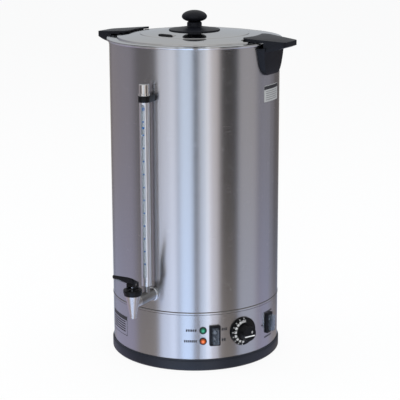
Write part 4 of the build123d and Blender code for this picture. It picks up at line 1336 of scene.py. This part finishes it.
    def _knob(self) -> None:
        """Make the knob: a wide skirt, a neck and a mushroom head."""
        low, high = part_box("lid_knob")
        base, skirt, neck = low.z, high.x, self.knob_neck
        widest = high.z - self.knob_crown
        outline = [
            (self.knob_bore, base),
            (skirt, base, 0.3 * MM),
            (skirt - 0.2 * MM, base + 1.9 * MM, 0.8 * MM),
            (neck + 1.0 * MM, base + 6.4 * MM, 3.0 * MM),
            (neck, base + 7.6 * MM, 1.0 * MM),
            (neck, widest - 10.0 * MM, 3.2 * MM),
        ]
        steps, first, sweep = 24, -62, 152
        for step in range(steps + 1):
            angle = radians(first + sweep * step / steps)
            rise = self.knob_crown if angle > 0 else self.knob_chin
            outline.append((max(self.knob_head * cos(angle), 0.0), widest + rise * sin(angle)))
        bore_end = base + self.knob_bore_depth
        outline += [(0.0, bore_end), (self.knob_bore, bore_end)]
        knob = Workshop.turned("knob_moulding", outline, FINISHES[Slot.BLACK], segments=96)
        hand_over(knob, Body.LID, Slot.BLACK, "lid_knob")


@dataclass
class Handles:
    """Side handles with softened edges."""

    edge: float = 1.6 * MM

    def build(self) -> None:
        """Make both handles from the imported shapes."""
        for side in ("right", "left"):
            node = f"handle_{side}"
            grip = Workshop.moulding(node, f"grip_{side}", Slot.BLACK, 0.6, self.edge, 3, 24.0)
            hand_over(grip, Body.URN, Slot.BLACK, node)


@dataclass
class Tap:
    """Tap with its bonnet, lever and spring."""

    reach: float = 212.7 * MM
    rib_count: int = 30
    rib_width: float = 1.1 * MM
    rib_thick: float = 0.8 * MM
    rib_sink: float = 0.25 * MM
    bonnet_foot: float = 14.4 * MM
    bonnet_neck: float = 11.45 * MM
    bonnet_bore: float = 9.5 * MM
    bonnet_band: float = 3.5 * MM
    bonnet_roof: float = 4.0 * MM
    stem_hole: float = 4.05 * MM
    dish: float = 0.7 * MM
    lever_edge: float = 1.3 * MM
    wire: float = 0.6 * MM

    def build(self) -> None:
        """Make the tap's pieces."""
        self._bonnet()
        lever = Workshop.moulding(
            "tap_lever", "lever_moulding", Slot.GLOSS_BLACK, 0.6, self.lever_edge, 3, 28.0
        )
        hand_over(lever, Body.LEVER, Slot.GLOSS_BLACK, "tap_lever")
        self._spring()

    def _bonnet(self) -> None:
        """Make the bonnet nut with its fine grip ribs."""
        low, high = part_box("tap_bonnet")
        outer, foot, neck, bore = high.x, self.bonnet_foot, self.bonnet_neck, self.bonnet_bore
        ceiling = high.z - self.bonnet_roof
        neck_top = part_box("tap_body")[1].z + 0.05 * MM
        outline = (
            (neck, low.z, 0.2 * MM),
            (foot, low.z, 0.7 * MM),
            (outer, high.z - self.bonnet_band, 0.5 * MM),
            (outer, high.z, 1.1 * MM),
            (bore + 0.8 * MM, high.z, 0.6 * MM),
            (bore, high.z - self.dish, 0.6 * MM),
            (self.stem_hole, high.z - self.dish),
            (self.stem_hole, ceiling),
            (bore, ceiling),
            (bore, neck_top),
            (neck, neck_top),
        )
        black = FINISHES[Slot.GLOSS_BLACK]
        nut = Workshop.turned("bonnet_nut", outline, black, shift(0.0, -self.reach), 96)
        cone = high.z - self.bonnet_band - low.z
        ribs = Trees.ring().grow(
            Workshop.new("ribs"),
            black,
            Count=self.rib_count,
            Radius=(outer + foot) / 2 - self.rib_sink,
            Start=0.0,
            Pitch=2 * pi / self.rib_count,
            Lean=atan2(outer - foot, cone),
            Bar=(self.rib_thick, self.rib_width, cone * 0.9),
        )
        ribs.data.transform(shift(0.0, -self.reach, low.z + cone / 2))
        bonnet = Workshop.join("tap_bonnet_ribbed", [nut, ribs])
        Workshop.crease(bonnet)
        hand_over(bonnet, Body.URN, Slot.GLOSS_BLACK, "tap_bonnet")

    def _spring(self) -> None:
        """Wind the return spring, which the rising stem squeezes in the real tap; here it keeps its length.
        """
        low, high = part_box("tap_spring")
        height = high.z - low.z
        spring = Trees.coil().grow(
            Workshop.new("return_spring"),
            FINISHES[Slot.POLISHED],
            Turns=5.0,
            Radius=(high.x - low.x) / 2 - self.wire,
            Height=height - 2 * self.wire,
            Wire=self.wire,
        )
        spring.data.transform(shift(0.0, -self.reach, low.z + self.wire))
        hand_over(spring, Body.URN, Slot.POLISHED, "tap_spring")
        lift = next(j for j in frame["record"]["behaviour"]["joints"] if j["name"] == "tap_stem_lift")
        (height - lift["range_m"][1]) / height
        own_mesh(spring)


@dataclass
class Gauge:
    """Level gauge: marks on the glass, softened clamp."""

    reach: float = 168.5 * MM
    turn: float = 4.0
    pitch: float = 22.45 * MM
    ink: float = 0.12 * MM
    number_height: float = 4.8 * MM
    number_level: float = 463.0 * MM
    clamp_edge: float = 0.7 * MM
    rows: Outline = (  # lowest level, number of marks, width and height of a mark
        (194.5 * MM, 11, 3.2 * MM, 2.3 * MM),
        (431.0 * MM, 1, 4.4 * MM, 3.4 * MM),
        (441.5 * MM, 1, 3.2 * MM, 2.3 * MM),
    )

    def build(self) -> None:
        """Make the marks and the clamp."""
        axis = Vector((0.0, -self.reach, 0.0))
        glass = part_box("gauge_glass")[1].x + self.ink / 2
        prints = []
        for level, count, width, height in self.rows:
            row = Workshop.bars("mark", BLUE_INK, count, self.pitch, width, height, self.ink)
            Workshop.wrap(row, self.turn, glass, level, axis)
            prints.append(row)
        number = Workshop.lettering("20", self.number_height, self.ink, BLUE_INK, 0.04)
        Workshop.wrap(number, self.turn, glass, self.number_level, axis)
        hand_over(Workshop.join("gauge_marks", [*prints, number]), Body.URN, Slot.SCALE)
        black = Slot.GLOSS_BLACK
        clamp = Workshop.moulding("gauge_clamp", "clamp_moulding", black, 0.4, self.clamp_edge, 2, 40.0)
        hand_over(clamp, Body.URN, black, "gauge_clamp")


@dataclass(frozen=True)
class Word:
    """Row of plain blocks in the place of a word."""

    blocks: int
    pitch: float
    azimuth: float
    level: float
    height: float


@dataclass
class Controls:
    """Printed marks, dial figures and rocker marks on the skirt."""

    dial_radius: float = 25.2 * MM
    dial_foot: float = 3.0 * MM  # edge of the dial off the wall
    dial_rise: float = 3.0 * MM  # from the edge of its face to the hub
    hub_radius: float = 14.4 * MM
    hub_face: float = 22.0 * MM  # off the wall
    first_figure: int = 30
    figure_step: int = 10
    figure_count: int = 9
    first_angle: float = -98.0
    angle_step: float = -21.5
    figure_height: float = 4.3 * MM
    figure_weight: float = 0.035
    figure_width: float = 0.80  # share of the font's own width
    figure_reach: float = 18.9 * MM
    tick_reach: float = 23.4 * MM
    tick_length: float = 2.4 * MM
    tick_width: float = 1.1 * MM
    ink: float = 0.16 * MM
    print_ink: float = 0.08 * MM
    print_gap: float = 0.02 * MM
    rocker_depth: float = 2.0 * MM
    rocker_tilt: float = 8.0
    rocker_face: float = 3.12 * MM
    rocker_mark: float = 6.4 * MM  # from the middle of the rocker

    def build(self) -> None:
        """Make the marks of the controls."""
        self.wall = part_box("control_skirt")[1].x
        self._dial()
        self._rocker("main", PANEL.main_azimuth, Body.MAIN_ROCKER)
        self._rocker("boost", PANEL.boost_azimuth, Body.BOOST_ROCKER)
        self._prints()

    def _face(self, radius: float) -> float:
        """Return how far the dial's sloping face stands off the wall at a radius."""
        share = (self.dial_radius - radius) / (self.dial_radius - self.hub_radius)
        return self.dial_foot + self.dial_rise * share

    def _dial(self) -> None:
        """Make the figures, the ticks and the pointer of the dial."""
        tilt = atan2(self.dial_rise, self.dial_radius - self.hub_radius)
        pieces = []
        for index in range(self.figure_count):
            text = str(self.first_figure + self.figure_step * index)
            angle = radians(self.first_angle + self.angle_step * index)
            figure = Workshop.lettering(text, self.figure_height, self.ink, WHITE_INK, self.figure_weight)
            figure.data.transform(
                Matrix.Rotation(angle, 4, "Z")
                @ shift(self.figure_reach, 0.0, self._face(self.figure_reach) + 0.10 * MM)
                @ Matrix.Rotation(tilt, 4, "Y")
                @ Matrix.Rotation(pi / 2, 4, "Z")
                @ Matrix.Scale(self.figure_width, 4, (1, 0, 0))
            )
            pieces.append(figure)
        ticks = Trees.ring().grow(
            Workshop.new("ticks"),
            WHITE_INK,
            Count=self.figure_count,
            Radius=self.tick_reach,
            Start=radians(self.first_angle),
            Pitch=radians(self.angle_step),
            Lean=tilt,
            Bar=(self.tick_length, self.tick_width, self.ink),
        )
        ticks.data.transform(shift(0.0, 0.0, self._face(self.tick_reach) + 0.04 * MM))
        pointer = Workshop.slab(
            "pointer",
            oblong(-11.0 * MM, 10.4 * MM, -5.2 * MM, -3.2 * MM, 0.7 * MM),
            self.hub_face - 0.3 * MM,
            self.hub_face + 0.12 * MM,
            WHITE_INK,
        )
        zero = Workshop.lettering("0", 4.4 * MM, 0.2 * MM, WHITE_INK)
        zero.data.transform(shift(4.8 * MM, 2.4 * MM, self.hub_face + 0.05 * MM))
        marks = Workshop.join("dial_marks", [*pieces, ticks, pointer, zero])
        marks.data.transform(wall_place(PANEL.dial_azimuth, self.wall, PANEL.dial_level))
        hand_over(marks, Body.DIAL, Slot.GLOSS_BLACK)

    def _rocker(self, name: str, azimuth: float, body: Body) -> None:
        """Print a bar and a ring on a rocker's two halves.

        Args:
            name: First part of the piece's name.
            azimuth: Azimuth of the rocker.
            body: Body of the rocker.
        """
        place = wall_place(azimuth, self.wall - self.rocker_depth, PANEL.switch_level)
        place = place @ Matrix.Rotation(radians(self.rocker_tilt), 4, "X")
        thick, half_width, half_height = 0.15 * MM, 0.5 * MM, 2.2 * MM
        lower = place @ shift(0.0, -self.rocker_mark, self.rocker_face)
        upper = place @ shift(0.0, self.rocker_mark, self.rocker_face)
        outline = oblong(-half_width, half_width, -half_height, half_height)
        bar = Workshop.slab("bar", outline, 0.0, thick, WHITE_INK, lower)
        ring = Workshop.turned("ring", oblong(1.4 * MM, 2.2 * MM, 0.0, thick), WHITE_INK, upper, 32)
        hand_over(Workshop.join(f"{name}_rocker_marks", [bar, ring]), body, Slot.GLOSS_BLACK)

    def _prints(self) -> None:
        """Print the plain marks on the skirt."""
        boost = PANEL.boost_azimuth - 0.4
        words = (
            Word(5, 3.9 * MM, PANEL.lamp_azimuth - 7.9, PANEL.power_level, 4.2 * MM),
            Word(7, 3.3 * MM, PANEL.lamp_azimuth - 8.4, PANEL.heating_level, 4.2 * MM),
            Word(3, 3.6 * MM, 49.4, 73.9 * MM, 5.0 * MM),
            Word(2, 4.2 * MM, 49.0, 54.6 * MM, 5.0 * MM),
            Word(9, 3.3 * MM, boost, 84.9 * MM, 3.2 * MM),
            Word(8, 3.2 * MM, boost, 39.2 * MM, 3.2 * MM),
        )
        block_share = 0.7  # of the pitch
        ink, reach = self.print_ink, self.wall + self.print_gap
        prints = []
        for word in words:
            pitch, half = word.pitch, word.pitch * (word.blocks - 1) / 2
            row = Workshop.bars("word", BLACK_INK, word.blocks, pitch, word.height, pitch * block_share, ink)
            row.data.transform(Matrix.Rotation(-pi / 2, 4, "Z") @ shift(0.0, -half))
            Workshop.wrap(row, word.azimuth, reach, word.level)
            prints.append(row)
        back, corner = 2.4 * MM, 0.3 * MM
        arrow = [(-3.4 * MM, 0.0), (back, -back, corner), (back, back, corner)]
        index = Workshop.slab("index", arrow, 0.0, ink, BLACK_INK)
        Workshop.wrap(index, PANEL.index_azimuth, reach, PANEL.index_level)
        hand_over(Workshop.join("panel_prints", [*prints, index]), Body.URN, Slot.GLOSS_BLACK)


@dataclass(frozen=True)
class Plate:
    """Plate with a dark band along its top and rows of plain bars below it."""

    name: str
    azimuth: float
    level: float
    width: float
    height: float
    band: float
    pitch: float
    filled: float  # height of a bar as a share of the pitch
    stock: Material
    ink: Material
    slot: Slot
    corner: float = 1.5 * MM
    thick: float = 0.15 * MM
    inset: float = 0.8 * MM
    margin: float = 6.0 * MM
    line: float = 0.9 * MM
    ink_level: float = 0.17 * MM
    ink_thick: float = 0.08 * MM

    def build(self, wall: float) -> None:
        """Stick the plate to a wall.

        Args:
            wall: Radius of the wall.
        """
        x, y, inset = self.width / 2, self.height / 2, self.inset
        sheet = Workshop.slab("plate", oblong(-x, x, -y, y, self.corner), 0.0, self.thick, self.stock)
        foot = y - self.band
        top = (
            (-x + inset, foot),
            (x - inset, foot),
            (x - inset, y - inset, inset),
            (-x + inset, y - inset, inset),
        )
        band = Workshop.slab("band", top, 0.12 * MM, 0.2 * MM, BLACK_INK)
        count = int((self.height - self.band - 3 * MM) / self.pitch)
        length = self.width - 2 * self.margin
        rows = [(count, length, self.pitch * self.filled, 0.0, foot - 3.2 * MM)]
        edge = 0.5 * MM
        rows += [
            (1, self.width, self.line, 0.0, edge - y),
            (1, self.line, self.height, x - edge, 0.0),
            (1, self.line, self.height, edge - x, 0.0),
        ]
        prints = []
        for number, across, along, right, up in rows:
            row = Workshop.bars("row", self.ink, number, -self.pitch, across, along, self.ink_thick)
            row.data.transform(shift(right, up, self.ink_level))
            prints.append(row)
        whole = Workshop.join(self.name, [sheet, band, *prints])
        Workshop.wrap(whole, self.azimuth, wall, self.level)
        hand_over(whole, Body.URN, self.slot)


@dataclass
class Plates:
    """Blank plates that are stuck to the body."""

    def build(self) -> None:
        """Make the plates."""
        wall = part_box("outer_jacket")[1].x
        places = (
            ("side_plate", 92.5, 477.6 * MM, 55.0 * MM, 29.0 * MM, 7.0 * MM, 3.6 * MM, 0.38),
            ("rating_plate", -36.0, 61.2 * MM, 62.0 * MM, 36.4 * MM, 8.0 * MM, 4.4 * MM, 0.50),
        )
        looks = ((LABEL_STOCK, GREY_INK, Slot.PALE), (FINISHES[Slot.SHEET], BLACK_INK, Slot.SHEET))
        for place, look in zip(places, looks):
            Plate(*place, *look).build(wall)


# ---------------------------------------------------------------------------------------------
# Studio


@dataclass(frozen=True)
class Softbox:
    """Upright strip of light or shade in the studio, seen only in reflections."""

    azimuth: float
    half_width: float
    strength: float
    tint: Colour = (1.0, 1.0, 1.0)
    edge: float = 3.0


BOXES = (
    Softbox(-37.0, 13.6, 0.69, (1.0, 1.07, 1.24), 4.5),
    Softbox(-29.5, 5.0, 0.20, (1.0, 1.07, 1.20)),
    Softbox(-11.0, 9.5, 0.80, (0.98, 1.18, 1.48), 2.0),
    Softbox(12.5, 7.0, 0.68, (0.98, 1.10, 1.28), 2.5),
    Softbox(16.5, 2.6, 0.20, edge=1.6),
    Softbox(24.5, 8.0, 0.62, (1.03, 0.97, 0.98)),
    Softbox(74.0, 18.0, 0.33, (0.97, 0.97, 1.03), 7.0),
    Softbox(112.0, 18.0, 0.17, (0.94, 1.02, 1.36), 12.0),
    Softbox(-120.0, 32.0, 0.18, (1.0, 0.98, 1.25), 10.0),
    Softbox(181.0, 17.0, 0.46, (0.96, 1.0, 1.04), 6.0),
)
FLAGS = (Softbox(0.6, 2.7, 0.98, edge=1.4), Softbox(47.0, 12.3, 0.96))


@dataclass
class Studio:
    """Camera, floor, lamps and the strips that the steel reflects."""

    image_side: int = 400
    focal_pixels: float = 1348.0
    sensor: float = 36.0
    distance: float = 2.370
    height: float = 0.840
    azimuth: float = 30.0
    pitch: float = 13.5
    yaw: float = 0.2125
    roll: float = -0.18
    radius: float = 6.0
    floor_radius: float = 40.0
    ambient: Colour = (0.15, 0.15, 0.174)
    ceiling_light: float = 0.60
    floor_light: Colour = (0.46, 0.41, 0.38)
    # Share of a colour's light at the middle level, and what it gains low down and high up.
    middle_share: Colour = (0.95, 0.86, 0.74)
    gain_low: Colour = (0.13, 0.34, 0.66)
    gain_high: Colour = (-0.17, -0.06, 0.06)

    def build(self) -> None:
        """Make the whole studio."""
        self._camera()
        self._world()
        self._floor()
        self._lamps()
        self._surround()

    def _camera(self) -> None:
        """Set the camera."""
        turn = radians(self.azimuth)
        data = bpy.data.cameras.new("camera")
        data.sensor_width = self.sensor
        data.lens = self.focal_pixels / self.image_side * self.sensor
        data.clip_start, data.clip_end = 0.05, 50.0
        camera = Workshop.new("camera", data)
        place = Vector((self.distance * sin(turn), -self.distance * cos(turn), self.height))
        look = (
            Matrix.Rotation(turn - radians(self.yaw), 3, "Z")
            @ Matrix.Rotation(radians(90 - self.pitch), 3, "X")
            @ Matrix.Rotation(radians(self.roll), 3, "Z")
        )
        camera.matrix_world = Matrix.Translation(place) @ look.to_4x4()
        bpy.context.scene.camera = camera

    def _world(self) -> None:
        """Set a white background with soft light for everything else."""
        world = bpy.data.worlds.new("studio")
        bpy.context.scene.world = world
        world.use_nodes = True
        tree = Tree(world.node_tree)
        path = tree.place("ShaderNodeLightPath")
        seen = path.out("Is Camera Ray").math("MAXIMUM", path.out("Is Glossy Ray"))
        seen = seen.math("MAXIMUM", path.out("Is Transmission Ray"))
        soft = tree.place("ShaderNodeBackground", None, {"Color": (0.95, 0.97, 1.0), "Strength": 0.62})
        white = tree.place("ShaderNodeBackground", None, {"Color": (1.0, 1.0, 1.0), "Strength": 1.0})
        mix = tree.place("ShaderNodeMixShader", None, [seen, soft.out(), white.out()])
        tree.place("ShaderNodeOutputWorld", None, {"Surface": mix.out()})
        bpy.context.scene.view_settings.view_transform = "Standard"

    def _floor(self) -> None:
        """Lay a pale floor that keeps a soft shadow."""
        shader = Shader("floor")
        path = shader.place("ShaderNodeLightPath")
        seen = path.out("Is Camera Ray").math("MAXIMUM", path.out("Is Transmission Ray"))
        plain = shader.place("ShaderNodeBsdfDiffuse", None, {"Color": (0.86, 0.87, 0.88)})
        white = shader.place("ShaderNodeEmission", None, {"Color": (1.0, 1.0, 1.0), "Strength": 1.0})
        mix = shader.place("ShaderNodeMixShader", None, [seen * 0.9, plain.out(), white.out()])
        reach, sides = self.floor_radius, 64
        turns = (2 * pi * side / sides for side in range(sides))
        outline = [(reach * cos(turn), reach * sin(turn)) for turn in turns]
        floor = Workshop.slab("floor", outline, -0.02, 0.0, shader.close(mix.out()))
        floor.visible_glossy = False

    def _lamps(self) -> None:
        """Hang the soft lamps."""
        lamps = (
            ("key", (1.9, -3.0, 2.6), 1.6, 62.0, (1.0, 0.985, 0.96)),
            ("fill", (-3.0, -1.6, 1.6), 1.8, 26.0, (0.93, 0.97, 1.0)),
            ("top", (0.0, 0.3, 3.2), 2.0, 34.0, (1.0, 1.0, 1.0)),
        )
        target = Vector((0.0, 0.0, 0.3))
        for name, place, size, power, colour in lamps:
            data = bpy.data.lights.new(name, "AREA")
            data.size, data.energy, data.color = size, power, colour
            lamp = Workshop.new(name, data)
            turn = (target - Vector(place)).to_track_quat("-Z", "Y").to_matrix()
            lamp.matrix_world = Matrix.Translation(place) @ turn.to_4x4()
            lamp.visible_glossy = False

    def _surround(self) -> None:
        """Hang a dome with strips of light round the studio, which only reflections see."""
        shader = Shader("surround")
        x, y, z = shader.axes(shader.position())
        bearing = x.math("ARCTAN2", y * -1.0) * (180 / pi) - self.azimuth
        level = z / self.radius

        def strip(box: Softbox) -> Signal:
            """Return 1 inside a strip and 0 outside it."""
            off = abs((bearing - box.azimuth + 540.0).math("FLOORED_MODULO", 360.0) - 180.0)
            return 1.0 - off.rising(box.half_width - box.edge, box.half_width + box.edge)

        low = (level * -1.0).rising(0.12, 0.30)
        high = level.rising(-0.06, 0.10)
        ground = (level * -1.0).rising(0.25, 0.34)
        ceiling = level.rising(0.10, 0.75)
        shade: Term = 1.0
        for flag in FLAGS:
            shade = (1.0 - strip(flag) * (1.0 - low * 0.22) * flag.strength) * shade
        channels = []
        for channel, light in enumerate(self.ambient):
            for box in BOXES:
                light = strip(box) * (box.strength * box.tint[channel]) + light
            gained = low * self.gain_low[channel] + high * self.gain_high[channel]
            wall = light * shade * (gained + self.middle_share[channel])
            wall = wall.math("MAXIMUM", ground * self.floor_light[channel])
            channels.append(wall * (1.0 - ceiling) + ceiling * self.ceiling_light)
        glow = {"Color": shader.vector(*channels), "Strength": 1.0}
        material = shader.close(shader.place("ShaderNodeEmission", None, glow).out())
        steps = 24
        angles = [-pi / 2 + pi * step / steps for step in range(steps + 1)]
        arc = [(self.radius * cos(angle), self.radius * sin(angle)) for angle in angles]
        arc[0], arc[-1] = (0.0, -self.radius), (0.0, self.radius)
        inner = [(r * 0.98, h * 0.98) for r, h in reversed(arc)]
        dome = Workshop.turned("surround", [*arc, *inner], material, segments=64)
        for kind in ("camera", "diffuse", "transmission", "shadow", "volume_scatter"):
            setattr(dome, f"visible_{kind}", False)


def dress_nodes() -> None:
    """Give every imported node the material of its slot."""
    for part in frame["record"]["subparts"]:
        node = frame["nodes"][part["node"]]
        material = OWN_FINISH.get(part["node"], FINISHES[Slot(part["material_slot"])])
        if not node.material_slots:
            node.data.materials.append(material)
        for slot in node.material_slots:
            slot.material = material
        LOG.info("%s: finish %s", node.name, material.name)


def main() -> None:
    """Build the studio and the urn's finer pieces."""
    logging.basicConfig(level=logging.INFO, format="%(name)s: %(message)s")
    Studio().build()
    dress_nodes()
    for assembly in (Shell(), Lid(), Handles(), Tap(), Gauge(), Controls(), Plates()):
        assembly.build()


if __name__ == "__main__":
    main()
